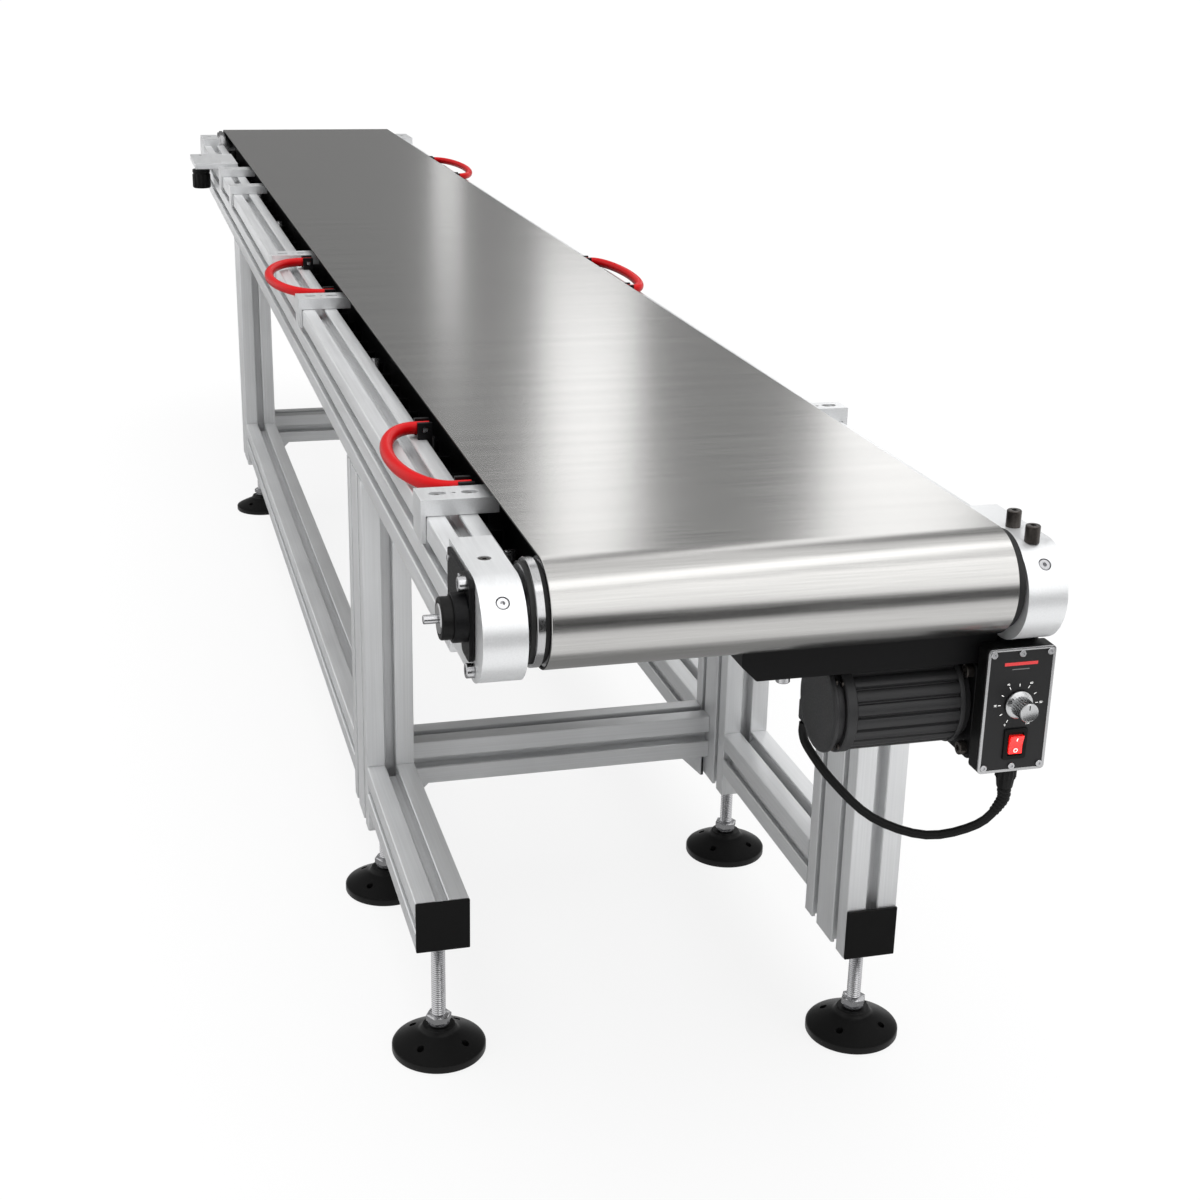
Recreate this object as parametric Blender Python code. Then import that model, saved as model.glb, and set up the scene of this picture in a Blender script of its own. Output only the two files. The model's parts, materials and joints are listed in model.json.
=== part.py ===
"""Belt conveyor section on an aluminium profile stand.

Lengths are written in millimetres and turned into metres when an object is made.
Construction axes: X across the belt (0 midway between the rails), Y along it
(0 at the drive roller's axis, growing towards the tail), Z up from the floor.
Every object is then shifted so that the origin is the middle of the whole
section's footprint, on the floor.
"""
import math

import bmesh
import bpy
from mathutils import Matrix, Vector

MM = 0.001
GAP = 0.3                     # clearance between pieces that touch
OVER = 5.0                    # how far a cutter runs past what it cuts

# belt and rollers
BELT_X = (-156.5, 163.0)      # belt edges
BELT_T = 1.8
AXIS_Z = 488.7                # height of both roller axes
ROLLER_R = 35.7
ROLLER_X = (-168.5, 169.5)
PITCH = 2650.0                # distance between the roller axes
SHAFT_R = 10.0
SHAFT_END = 196.5             # inside the end blocks
DRIVE_END = -221.6            # the drive shaft passes through the left block
STUB_END = -231.0             # thin stub on the drive shaft's outer end
STUB_R = 3.0
SHAFT_TIP_R = 8.0             # beyond the pulley
BELT_IN_R = ROLLER_R + GAP
BELT_OUT_R = BELT_IN_R + BELT_T

# rails and end blocks
RAIL_IN = {-1: 162.0, 1: 168.5}   # inner faces, left and right of the middle
RAIL_OUT = 200.0
RAIL_Z = (435.0, 505.0)
BLOCK_X = (171.0, 200.0)
BLOCK_Z = (446.0, 517.0)
BLOCK_BACK = 75.0             # where the block ends and the rail starts
NOSE_R = (BLOCK_Z[1] - BLOCK_Z[0]) / 2
NOSE_Y = -1.5
BLIND = 2.5                   # wall left beyond a shaft's bore
BEARING_T = 3.7               # flange of the bearing on the left block
BEARING_HALF = 14.0
BEARING_Z = (461.0, 516.5)
BOSS_R = 14.0
BOSS_END = -221.0

# stand
PROFILE = 45.0
POST_X = 177.5
POST_Z = (87.0, RAIL_Z[0] - GAP)
BEAM_Z = (109.0, 154.0)
NEAR_Y = 547.5                # middle of the near pair of posts
FAR_Y = 1858.5                # middle of the far pair
FRONT_POST_Y = 226.0
LEFT_BEAM_FRONT = 236.0
CAP_T = 2.7

# levelling feet
PAD_R = 40.0
PAD_H = 24.0
STUD_R = 6.0
NUT_R = 11.0
NUT_H = 10.0
STUD_REACH = 45.0             # length of stud inside its bore
BORE_CLEAR = 0.35

# bed under the belt
BED_TOP = AXIS_Z + BELT_IN_R - GAP
BED_X = (-138.0, 149.0)
BED_Y = (42.0, PITCH - 42.0)
SHEET = 3.0
TROUGH_Z = 470.0
LUG_SINK = 2.0                # how far a hinge lug is let into the trough

# grab handles: side, middle along Y, half span, reach from the hinge line
HANDLES = {
    "handle_left_near": (-1, 292.0, 88.0, 42.0),
    "handle_right_near": (1, 1055.0, 95.0, 30.0),
    "handle_left_far": (-1, 1090.0, 106.0, 56.0),
    "handle_right_far": (1, 2122.0, 118.0, 40.0),
}
HINGE_X = {-1: -163.5, 1: 174.5}
HINGE_Z = 513.0
HANDLE_R = 5.25
HANDLE_SIDES = 8
LEG_RUN = 8.0                 # straight length of a leg beyond its hinge
HEEL = 4.5                    # length of a leg behind its hinge
PIN_R = 2.5
PIN_HALF = 9.4
LUG_HALF = 10.0
LUG_WALL = 3.7
LUG_REACH = 6.5               # past the hinge line, over the rail
SWING_R = 7.6                 # room that a leg needs round its hinge
LEG_CLEAR = 0.6
LUG_TOP = 519.0

# clamp brackets on the rails: side, middle along Y, width
BRACKETS = {
    "bracket_left_1": (-1, 177.5, 32.0),
    "bracket_left_2": (-1, 950.0, 32.0),
    "bracket_left_3": (-1, 1238.0, 32.0),
    "bracket_right_1": (1, 375.0, 22.0),
}
BRACKET_INNER = {-1: 147.0, 1: 152.0}
BRACKET_T = 12.0
LIP_T = 3.7
LIP_DROP = 20.0
ARM_X = (-238.0, -166.0)      # long bracket that carries the clamp knob
ARM_Y = (2205.0, 2352.0)
ARM_T = 9.0
KNOB_XY = (-221.0, 2335.0)
KNOB_Z = (457.0, 490.0)
KNOB_R = 16.0
STEM_R = 3.0

# drive: motor under the belt, flat belt up to the roller inside the right block
MOTOR_Y = 34.0
MOTOR_Z = 390.7
MOTOR_X = (54.0, 156.7)
SHELL_START = 63.0
SHELL_PROFILE = [
    (SHELL_START, 29.0), (SHELL_START, 34.5), (70.0, 34.5), (70.0, 33.5), (149.0, 33.5),
    (150.0, 32.0), (MOTOR_X[1], 31.0), (MOTOR_X[1], 5.6), (148.0, 5.6), (148.0, 29.0),
]
COVER_END = SHELL_START - GAP
COVER_PROFILE = [
    (54.0, 0.0), (54.0, 33.0), (55.0, 34.0), (57.5, 34.0), (57.5, 30.0), (COVER_END, 30.0),
    (COVER_END, 26.0), (57.0, 26.0), (57.0, 0.0),
]
ROTOR_START = 60.0
ROTOR_PROFILE = [
    (ROTOR_START, 0.0), (ROTOR_START, 5.0), (66.0, 5.0), (66.0, 25.0), (72.0, 25.0),
    (72.0, 5.0), (80.0, 5.0), (80.0, 24.0), (140.0, 24.0), (140.0, 5.0), (155.5, 5.0),
    (155.5, 0.0),
]
HEAD_Y = (0.0, 68.0)
HEAD_Z = (352.0, 425.7)
BAR_LEFT = -16.0
BAR_Y = (0.0, 60.0)
BAR_Z = (426.5, 449.0)
BAR_CUT = 11.0
OUTPUT_START = 158.0          # output shaft, inside the gear head
OUTPUT_R = 6.0
OUTPUT_CLEAR = 0.5
ROLLER_PULLEY_R = 14.0
MOTOR_PULLEY_R = 9.0
PULLEY_X = (177.0, 193.0)
FLAT_BELT_T = 2.0
POCKET_X = (175.0, 195.0)
POCKET_CLEAR = 1.5
BAND_INSET = 1.0              # the flat belt is narrower than its pulleys
GUARD_Y = (-4.7, 75.0)
GUARD_Z = (352.0, BLOCK_Z[0] - GAP)

# control box
BOX_X = (154.5, 205.5)
BOX_Z = (351.0, 444.0)
BOX_Y = (-18.3, -5.0)
FACE_Y = (-20.3, -18.6)
BOX_WALL = 2.5
DIAL = (180.6, 402.0)
DIAL_HOLE_R = 4.0
FACE_FRONT = FACE_Y[0] - GAP
KNOB_PROFILE = [
    (-12.0, 0.0), (-12.0, 3.2), (FACE_FRONT, 3.2), (FACE_FRONT, 10.2), (-22.2, 10.2),
    (-23.2, 7.6), (-36.0, 7.0), (-37.0, 6.2), (-37.0, 0.0),
]
ROCKER = (181.0, 373.2)
ROCKER_PIVOT_Y = -16.5
ROCKER_HALF_W = 5.2
ROCKER_SIDE = [(-7.0, -7.2), (-5.9, 0.0), (-7.0, 7.2), (1.0, 5.4), (1.0, -5.4)]
ROCKER_TILT = 8.0
ROCKER_HOLE = (5.8, 8.8)      # half width and half height of its opening
GLAND = (182.5, -9.5)
GLAND_Z = (334.0, BOX_Z[0] - GAP)
GLAND_PROFILE = [
    (GLAND_Z[0], 0.0), (GLAND_Z[0], 4.6), (340.0, 6.2), (340.0, 7.6), (GLAND_Z[1], 7.6),
    (GLAND_Z[1], 0.0),
]

# motor lead: points on its centre line, from the gland round to the motor
LEAD_R = 3.3
LEAD_ROUTE = [
    (182.5, -9.5, 333.7), (181.5, -9.0, 322.0), (168.0, -2.0, 302.0), (137.0, 14.0, 289.0),
    (103.0, 34.0, 297.0), (78.0, 53.0, 320.0), (63.5, 66.0, 341.0), (59.4, 69.5, 352.0),
    (59.3, 69.5, 361.5),
]
ENTRY_X = (57.6, COVER_END)
ENTRY_Y = (54.0, 77.0)
ENTRY_Z = (362.0, 378.0)

# the footprint's middle, which becomes the origin
X_MID = (ARM_X[0] + HINGE_X[1] + HANDLES["handle_right_far"][3] + HANDLE_R) / 2
Y_MID = PITCH / 2

MATERIALS = {
    "aluminium": ((0.72, 0.73, 0.74), 0.35, 1.0),
    "belt_grey": ((0.42, 0.42, 0.42), 0.40, 0.6),
    "steel": ((0.62, 0.62, 0.62), 0.25, 1.0),
    "black_steel": ((0.03, 0.03, 0.03), 0.45, 0.0),
    "black_plastic": ((0.02, 0.02, 0.02), 0.50, 0.0),
    "black_rubber": ((0.02, 0.02, 0.02), 0.70, 0.0),
    "motor_grey": ((0.05, 0.05, 0.05), 0.50, 0.0),
    "red_grip": ((0.80, 0.01, 0.02), 0.35, 0.0),
}


# ------------------------------------------------------------------ helpers
def material(name):
    """The named Principled material, made on first use."""
    found = bpy.data.materials.get(name)
    if found:
        return found
    colour, roughness, metallic = MATERIALS[name]
    made = bpy.data.materials.new(name)
    made.use_nodes = True
    shader = made.node_tree.nodes["Principled BSDF"]
    shader.inputs["Base Color"].default_value = (*colour, 1.0)
    shader.inputs["Roughness"].default_value = roughness
    shader.inputs["Metallic"].default_value = metallic
    return made


def world(point):
    """Construction millimetres to world metres."""
    return Vector((point[0] - X_MID, point[1] - Y_MID, point[2])) * MM


def make(name, bm, finish, pivot=(X_MID, Y_MID, 0.0)):
    """An object from a bmesh in construction millimetres, its origin at pivot."""
    place = world(pivot)
    bm.transform(Matrix.Translation(-place) @ Matrix.Scale(MM, 4)
                 @ Matrix.Translation((-X_MID, -Y_MID, 0.0)))
    bmesh.ops.recalc_face_normals(bm, faces=bm.faces)
    mesh = bpy.data.meshes.new(name)
    bm.to_mesh(mesh)
    bm.free()
    mesh.materials.append(material(finish))
    mesh.shade_smooth()
    mesh.set_sharp_from_angle(angle=math.radians(35))
    made = bpy.data.objects.new(name, mesh)
    made.location = place
    bpy.context.scene.collection.objects.link(made)
    return made


def placed(axis, u, v, along):
    """A point from outline coordinates: u, v are the two axes other than axis."""
    if axis == "X":
        return (along, u, v)
    if axis == "Y":
        return (u, along, v)
    return (u, v, along)


def prism(outline, axis, start, end, bm=None):
    """A straight extrusion of a closed outline."""
    bm = bm or bmesh.new()
    first = [bm.verts.new(placed(axis, u, v, start)) for u, v in outline]
    last = [bm.verts.new(placed(axis, u, v, end)) for u, v in outline]
    bm.faces.new(first)
    bm.faces.new(list(reversed(last)))
    for i in range(len(outline)):
        j = (i + 1) % len(outline)
        bm.faces.new((first[i], last[i], last[j], first[j]))
    return bm


def ring_prism(outer, inner, axis, start, end):
    """A straight extrusion of a band between two outlines of equal point count."""
    bm = bmesh.new()
    rings = []
    for outline, along in ((outer, start), (outer, end), (inner, end), (inner, start)):
        rings.append([bm.verts.new(placed(axis, u, v, along)) for u, v in outline])
    count = len(outer)
    for k in range(4):
        near, far = rings[k], rings[(k + 1) % 4]
        for i in range(count):
            j = (i + 1) % count
            bm.faces.new((near[i], near[j], far[j], far[i]))
    return bm


def box(low, high, bm=None):
    """A block between two corners."""
    outline = [(low[0], low[1]), (high[0], low[1]), (high[0], high[1]), (low[0], high[1])]
    return prism(outline, "Z", low[2], high[2], bm)


def circle(centre, radius, count, start=0.0, sweep=2 * math.pi):
    """Points on a circle or, with a smaller sweep, on an arc with both ends."""
    full = abs(sweep - 2 * math.pi) < 1e-9
    steps = count if full else count - 1
    return [
        (centre[0] + radius * math.cos(start + sweep * i / steps),
         centre[1] + radius * math.sin(start + sweep * i / steps))
        for i in range(count)
    ]


def turned(profile, axis, centre, count=24):
    """A solid of revolution: profile is (position along the axis, radius) pairs."""
    bm = bmesh.new()
    rings = []
    for along, radius in profile:
        if radius == 0:
            rings.append([bm.verts.new(placed(axis, centre[0], centre[1], along))])
        else:
            rings.append([bm.verts.new(placed(axis, u, v, along))
                          for u, v in circle(centre, radius, count)])
    closed = profile[0][1] != 0
    pairs = list(zip(rings, rings[1:] + rings[:1])) if closed else list(zip(rings, rings[1:]))
    for near, far in pairs:
        for i in range(count):
            j = (i + 1) % count
            if len(near) == 1:
                bm.faces.new((near[0], far[i], far[j]))
            elif len(far) == 1:
                bm.faces.new((near[i], far[0], near[j]))
            else:
                bm.faces.new((near[i], near[j], far[j], far[i]))
    return bm


def tangent_loop(one, radius_one, two, radius_two, half_count=12):
    """Outline of a belt round two circles: two arcs joined by straight runs."""
    gap = Vector(two) - Vector(one)
    heading = math.atan2(gap.y, gap.x)
    lean = math.acos((radius_one - radius_two) / gap.length)
    first = circle(one, radius_one, half_count, heading + lean, 2 * (math.pi - lean))
    second = circle(two, radius_two, half_count, heading - lean, 2 * lean)
    return first + second


def slotted(width, height, slots):
    """Outline of a profile with T-slots: slots maps a side to slot middles along it."""
    opening, lip, cheek, depth = 5.0, 3.0, 9.0, 12.0
    notch = [(-opening, 0), (-opening, lip), (-cheek, lip), (-cheek, depth),
             (cheek, depth), (cheek, lip), (opening, lip), (opening, 0)]
    sides = [("bottom", width, height, 0), ("right", height, width, 1),
             ("top", width, height, 2), ("left", height, width, 3)]
    outline = []
    for side, run, across, turns in sides:
        points = [(-run / 2, -across / 2)]
        for middle in sorted(slots.get(side, [])):
            points += [(middle + a, -across / 2 + b) for a, b in notch]
        for u, v in points:
            for _ in range(turns):
                u, v = -v, u
            outline.append((u, v))
    return outline


def shifted(outline, du, dv):
    return [(u + du, v + dv) for u, v in outline]


def tool(name, bm):
    """A cutter or a union tool, left out of the build."""
    made = make(name, bm, "steel")
    made.hide_render = True
    made.display_type = "WIRE"
    return made


def combine(target, other, operation):
    """A Boolean modifier on target that uses other."""
    modifier = target.modifiers.new(other.name, "BOOLEAN")
    modifier.operation = operation
    modifier.object = other
    modifier.solver = "EXACT"


def mirrored(low, high, side):
    """An inner-to-outer pair of X positions on one side, in rising order."""
    return (low, high) if side > 0 else (-high, -low)


# ------------------------------------------------------------------ carrying frame
def rails():
    """Two slotted rails, one slot on top and two in the outer face."""
    height = RAIL_Z[1] - RAIL_Z[0]
    for side, name, outer in ((-1, "rail_left", "left"), (1, "rail_right", "right")):
        width = RAIL_OUT - RAIL_IN[side]
        middles = [-13.0, 13.0]
        outline = slotted(width, height, {"top": [0.0], "bottom": [0.0], outer: middles})
        outline = shifted(outline, side * (RAIL_IN[side] + width / 2), sum(RAIL_Z) / 2)
        make(name, prism(outline, "Y", BLOCK_BACK + GAP, PITCH - BLOCK_BACK - GAP), "aluminium")


def block_outline(turn):
    """Side view of an end block: square at the back, round at the nose."""
    nose = circle((NOSE_Y, sum(BLOCK_Z) / 2), NOSE_R, 15, math.pi / 2, math.pi)
    points = [(BLOCK_BACK, BLOCK_Z[0]), (BLOCK_BACK, BLOCK_Z[1])] + nose
    if turn:
        points = [(PITCH - y, z) for y, z in points]
    return points


def drive_pocket(name):
    """Cutter for the chamber that the flat belt and its pulleys turn in."""
    loop = tangent_loop((0.0, AXIS_Z), ROLLER_PULLEY_R + FLAT_BELT_T + POCKET_CLEAR,
                        (MOTOR_Y, MOTOR_Z), MOTOR_PULLEY_R + FLAT_BELT_T + POCKET_CLEAR)
    return tool(name, prism(loop, "X", *POCKET_X))


def end_blocks():
    """Four blocks that hold the roller shafts at the rails' ends."""
    bore = SHAFT_R + BORE_CLEAR
    for end, turn, axis_y in (("drive", False, 0.0), ("tail", True, PITCH)):
        for side, word in ((-1, "left"), (1, "right")):
            name = f"end_block_{end}_{word}"
            span = mirrored(*BLOCK_X, side)
            block = make(name, prism(block_outline(turn), "X", *span), "aluminium")
            through = end == "drive" and side < 0
            depth = BLOCK_X[1] + OVER if through else BLOCK_X[1] - BLIND
            bore_span = mirrored(BLOCK_X[0] - OVER, depth, side)
            cutter = prism(circle((axis_y, AXIS_Z), bore, 24), "X", *bore_span)
            combine(block, tool(f"cut_bore_{end}_{word}", cutter), "DIFFERENCE")
            if end == "drive" and side > 0:
                combine(block, drive_pocket("cut_block_pocket"), "DIFFERENCE")


def drive_bearing():
    """Flanged bearing on the left block: plate, boss and bore."""
    outer = -BLOCK_X[1] - GAP
    plate = box((outer - BEARING_T, -BEARING_HALF, BEARING_Z[0]),
                (outer, BEARING_HALF, BEARING_Z[1]))
    bearing = make("drive_bearing_left", plate, "black_steel")
    boss = prism(circle((0.0, AXIS_Z), BOSS_R, 28), "X", BOSS_END, outer - GAP)
    combine(bearing, tool("add_bearing_boss", boss), "UNION")
    bore = prism(circle((0.0, AXIS_Z), SHAFT_R + BORE_CLEAR, 24), "X", BOSS_END - OVER,
                 outer + OVER)
    combine(bearing, tool("cut_bearing_bore", bore), "DIFFERENCE")


def bed_pan():
    """Folded sheet under the belt, with a trough along each rail and hinge lugs."""
    left, right = BED_X
    edges = {side: side * (RAIL_IN[side] - GAP) for side in (-1, 1)}
    low, high = TROUGH_Z, TROUGH_Z + SHEET
    outline = [
        (edges[-1], low), (left + SHEET, low), (left + SHEET, BED_TOP - SHEET),
        (right - SHEET, BED_TOP - SHEET), (right - SHEET, low), (edges[1], low),
        (edges[1], high), (right, high), (right, BED_TOP), (left, BED_TOP), (left, high),
        (edges[-1], high),
    ]
    pan = make("bed_pan", prism(outline, "Y", *BED_Y), "black_steel")
    lugs, slots, bores = bmesh.new(), bmesh.new(), bmesh.new()
    for side, middle, half, _ in HANDLES.values():
        hinge = HINGE_X[side]
        outer = hinge + side * LUG_REACH
        edge = edges[side]
        foot = edge - side * LUG_WALL
        lug = [(foot, low + LUG_SINK), (edge, low + LUG_SINK), (edge, RAIL_Z[1] + GAP),
               (outer, RAIL_Z[1] + GAP), (outer, LUG_TOP), (foot, LUG_TOP)]
        for leg in (middle - half, middle + half):
            prism(lug, "Y", leg - LUG_HALF, leg + LUG_HALF, lugs)
            inner_x, outer_x = hinge - side * SWING_R, outer + side * OVER
            half_slot = HANDLE_R + LEG_CLEAR
            box((min(inner_x, outer_x), leg - half_slot, RAIL_Z[1]),
                (max(inner_x, outer_x), leg + half_slot, LUG_TOP + OVER), slots)
            bore = circle((hinge, HINGE_Z), PIN_R + BORE_CLEAR, 12)
            prism(bore, "Y", leg - LUG_HALF - GAP, leg + LUG_HALF + GAP, bores)
    combine(pan, tool("add_lugs", lugs), "UNION")
    combine(pan, tool("cut_lug_slots", slots), "DIFFERENCE")
    combine(pan, tool("cut_lug_bores", bores), "DIFFERENCE")


def brackets():
    """Clamp brackets: a top plate over the rail and a lip down its outer face."""
    low = RAIL_Z[1] + GAP
    for name, (side, middle, width) in BRACKETS.items():
        face, inner = RAIL_OUT + GAP, BRACKET_INNER[side]
        outline = [(inner, low), (face, low), (face, low - LIP_DROP),
                   (face + LIP_T, low - LIP_DROP), (face + LIP_T, low + BRACKET_T),
                   (inner, low + BRACKET_T)]
        outline = [(side * x, z) for x, z in outline]
        start, end = middle - width / 2, middle + width / 2
        make(name, prism(outline, "Y", start, end), "aluminium")
    arm = box((ARM_X[0], ARM_Y[0], low), (ARM_X[1], ARM_Y[1], low + ARM_T))
    long_bracket = make("bracket_left_arm", arm, "aluminium")
    bore = prism(circle(KNOB_XY, STEM_R + BORE_CLEAR, 16), "Z", low - OVER, low + ARM_T + OVER)
    combine(long_bracket, tool("cut_arm_bore", bore), "DIFFERENCE")


def clamp_knob():
    """Round knob on a stem that turns in the long bracket."""
    stem_top = RAIL_Z[1] + GAP + ARM_T
    profile = [(KNOB_Z[0], 0.0), (KNOB_Z[0], KNOB_R - 3), (KNOB_Z[0] + 3, KNOB_R),
               (KNOB_Z[1] - 2, KNOB_R), (KNOB_Z[1], KNOB_R - 2), (KNOB_Z[1], STEM_R),
               (stem_top, STEM_R), (stem_top, 0.0)]
    make("clamp_knob", turned(profile, "Z", KNOB_XY, 16), "black_plastic",
         (*KNOB_XY, KNOB_Z[0]))


# ------------------------------------------------------------------ belt and rollers
def conveyor_belt():
    """The endless belt, closed round both rollers."""
    ends = ((0.0, AXIS_Z), (PITCH, AXIS_Z))
    outer = tangent_loop(ends[0], BELT_OUT_R, ends[1], BELT_OUT_R, 25)
    inner = tangent_loop(ends[0], BELT_IN_R, ends[1], BELT_IN_R, 25)
    make("conveyor_belt", ring_prism(outer, inner, "X", *BELT_X), "belt_grey")


def rollers():
    """Drive roller with its pulley, and tail roller."""
    left, right = ROLLER_X
    drive = [
        (STUB_END, 0.0), (STUB_END, STUB_R), (DRIVE_END, STUB_R), (DRIVE_END, SHAFT_R),
        (left, SHAFT_R),
        (left, ROLLER_R), (right, ROLLER_R), (right, SHAFT_R), (PULLEY_X[0], SHAFT_R),
        (PULLEY_X[0], ROLLER_PULLEY_R), (PULLEY_X[1], ROLLER_PULLEY_R),
        (PULLEY_X[1], SHAFT_TIP_R), (SHAFT_END, SHAFT_TIP_R), (SHAFT_END, 0.0),
    ]
    make("drive_roller", turned(drive, "X", (0.0, AXIS_Z), 32), "steel", (0.0, 0.0, AXIS_Z))
    tail = [(-SHAFT_END, 0.0), (-SHAFT_END, SHAFT_R), (left, SHAFT_R), (left, ROLLER_R),
            (right, ROLLER_R), (right, SHAFT_R), (SHAFT_END, SHAFT_R), (SHAFT_END, 0.0)]
    make("tail_roller", turned(tail, "X", (PITCH, AXIS_Z), 32), "steel", (0.0, PITCH, AXIS_Z))


# ------------------------------------------------------------------ grab handles
def handle(name, side, middle, half, reach):
    """A bent tube on two short hinge pins, lying flat over the rail."""
    hinge = HINGE_X[side]
    steps = 14
    heel = hinge - side * HEEL
    path = [(heel, middle - half)]
    for i in range(steps + 1):
        turn = math.pi * i / steps
        out = LEG_RUN + (reach - LEG_RUN) * math.sin(turn)
        path.append((hinge + side * out, middle - half * math.cos(turn)))
    path.append((heel, middle + half))
    bm = bmesh.new()
    rings = []
    for i, point in enumerate(path):
        before = Vector(path[max(i - 1, 0)])
        after = Vector(path[min(i + 1, len(path) - 1)])
        along = (after - before).normalized()
        across = Vector((along.y, -along.x))
        ring = []
        for u, v in circle((0.0, 0.0), HANDLE_R, HANDLE_SIDES):
            place = Vector(point) + across * u
            ring.append(bm.verts.new((place.x, place.y, HINGE_Z + v)))
        rings.append(ring)
    for near, far in zip(rings, rings[1:]):
        for i in range(HANDLE_SIDES):
            j = (i + 1) % HANDLE_SIDES
            bm.faces.new((near[i], near[j], far[j], far[i]))
    bm.faces.new(rings[0])
    bm.faces.new(rings[-1])
    made = make(name, bm, "red_grip", (hinge, middle, HINGE_Z))
    pins = bmesh.new()
    for leg in (middle - half, middle + half):
        pin = circle((hinge, HINGE_Z), PIN_R, 12)
        prism(pin, "Y", leg - PIN_HALF, leg + PIN_HALF, pins)
    combine(made, tool(f"add_pins_{name}", pins), "UNION")


# ------------------------------------------------------------------ stand
def stud_bore(name, x, y, bottom):
    """Cutter for the hole that a levelling stud slides in."""
    outline = circle((x, y), STUD_R + BORE_CLEAR, 16)
    return tool(name, prism(outline, "Z", bottom - OVER, bottom + STUD_REACH + OVER))


def posts():
    """Five upright double profiles under the rails."""
    wide = {"left": [-22.5, 22.5], "right": [-22.5, 22.5], "top": [0.0], "bottom": [0.0]}
    places = {
        "post_near_left": (-POST_X, NEAR_Y, NEAR_Y),
        "post_near_right": (POST_X, NEAR_Y, NEAR_Y),
        "post_far_left": (-POST_X, FAR_Y, FAR_Y),
        "post_far_right": (POST_X, FAR_Y, FAR_Y),
        "post_front_right": (POST_X, FRONT_POST_Y, FRONT_POST_Y - PROFILE / 2),
    }
    for name, (x, y, foot_y) in places.items():
        outline = shifted(slotted(PROFILE, 2 * PROFILE, wide), x, y)
        post = make(name, prism(outline, "Z", *POST_Z), "aluminium")
        combine(post, stud_bore(f"cut_{name}", x, foot_y, POST_Z[0]), "DIFFERENCE")


def beams():
    """Low beams: along both sides, across at both pairs of posts."""
    square = {"left": [0.0], "right": [0.0], "top": [0.0], "bottom": [0.0]}
    outline = slotted(PROFILE, PROFILE, square)
    middle_z = sum(BEAM_Z) / 2
    near_face = NEAR_Y - PROFILE
    far_face = FAR_Y - PROFILE
    for side, word in ((-1, "left"), (1, "right")):
        long_outline = shifted(outline, side * POST_X, middle_z)
        make(f"long_beam_{word}", prism(long_outline, "Y", NEAR_Y + PROFILE + GAP,
                                        far_face - GAP), "aluminium")
    left_outline = shifted(outline, -POST_X, middle_z)
    left_beam = make("foot_beam_left",
                     prism(left_outline, "Y", LEFT_BEAM_FRONT, near_face - GAP), "aluminium")
    bore = stud_bore("cut_foot_beam_left", -POST_X, LEFT_BEAM_FRONT + PROFILE / 2, BEAM_Z[0])
    combine(left_beam, bore, "DIFFERENCE")
    right_outline = shifted(outline, POST_X, middle_z)
    front = FRONT_POST_Y + PROFILE + GAP
    make("foot_beam_right", prism(right_outline, "Y", front, near_face - GAP), "aluminium")
    inner = POST_X - PROFILE / 2 - GAP
    for word, y in (("near", NEAR_Y + PROFILE / 2), ("far", FAR_Y + PROFILE / 2)):
        across = shifted(outline, y, middle_z)
        make(f"crossbeam_{word}", prism(across, "X", -inner, inner), "aluminium")


def caps():
    """Square plastic caps on the two front ends of the stand."""
    half = PROFILE / 2
    front = LEFT_BEAM_FRONT - GAP
    make("foot_beam_cap", box((-POST_X - half, front - CAP_T, BEAM_Z[0]),
                              (-POST_X + half, front, BEAM_Z[1])), "black_plastic")
    front = FRONT_POST_Y - PROFILE - GAP
    make("front_post_cap", box((POST_X - half, front - CAP_T, POST_Z[0]),
                               (POST_X + half, front, POST_Z[0] + PROFILE)), "black_plastic")


def feet():
    """Six levelling feet: a domed pad and a threaded stud with its nuts."""
    front_left = LEFT_BEAM_FRONT + PROFILE / 2
    places = {
        "front_left": (-POST_X, front_left, BEAM_Z[0]),
        "front_right": (POST_X, FRONT_POST_Y - PROFILE / 2, POST_Z[0]),
        "near_left": (-POST_X, NEAR_Y, POST_Z[0]),
        "near_right": (POST_X, NEAR_Y, POST_Z[0]),
        "far_left": (-POST_X, FAR_Y, POST_Z[0]),
        "far_right": (POST_X, FAR_Y, POST_Z[0]),
    }
    pad = [(0.0, 0.0), (0.0, PAD_R), (7.0, PAD_R), (10.0, PAD_R - 3), (17.0, 21.0),
           (19.0, 15.0), (PAD_H, 14.0), (PAD_H, 0.0)]
    for word, (x, y, bottom) in places.items():
        make(f"foot_pad_{word}", turned(pad, "Z", (x, y), 24), "black_plastic", (x, y, 0.0))
        low = PAD_H + GAP
        lock = bottom - GAP
        stud = [(low, 0.0), (low, NUT_R), (low + NUT_H, NUT_R), (low + NUT_H, STUD_R),
                (lock - 8.0, STUD_R), (lock - 8.0, NUT_R), (lock, NUT_R), (lock, STUD_R),
                (bottom + STUD_REACH, STUD_R), (bottom + STUD_REACH, 0.0)]
        make(f"foot_stud_{word}", turned(stud, "Z", (x, y), 12), "steel", (x, y, low))


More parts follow.
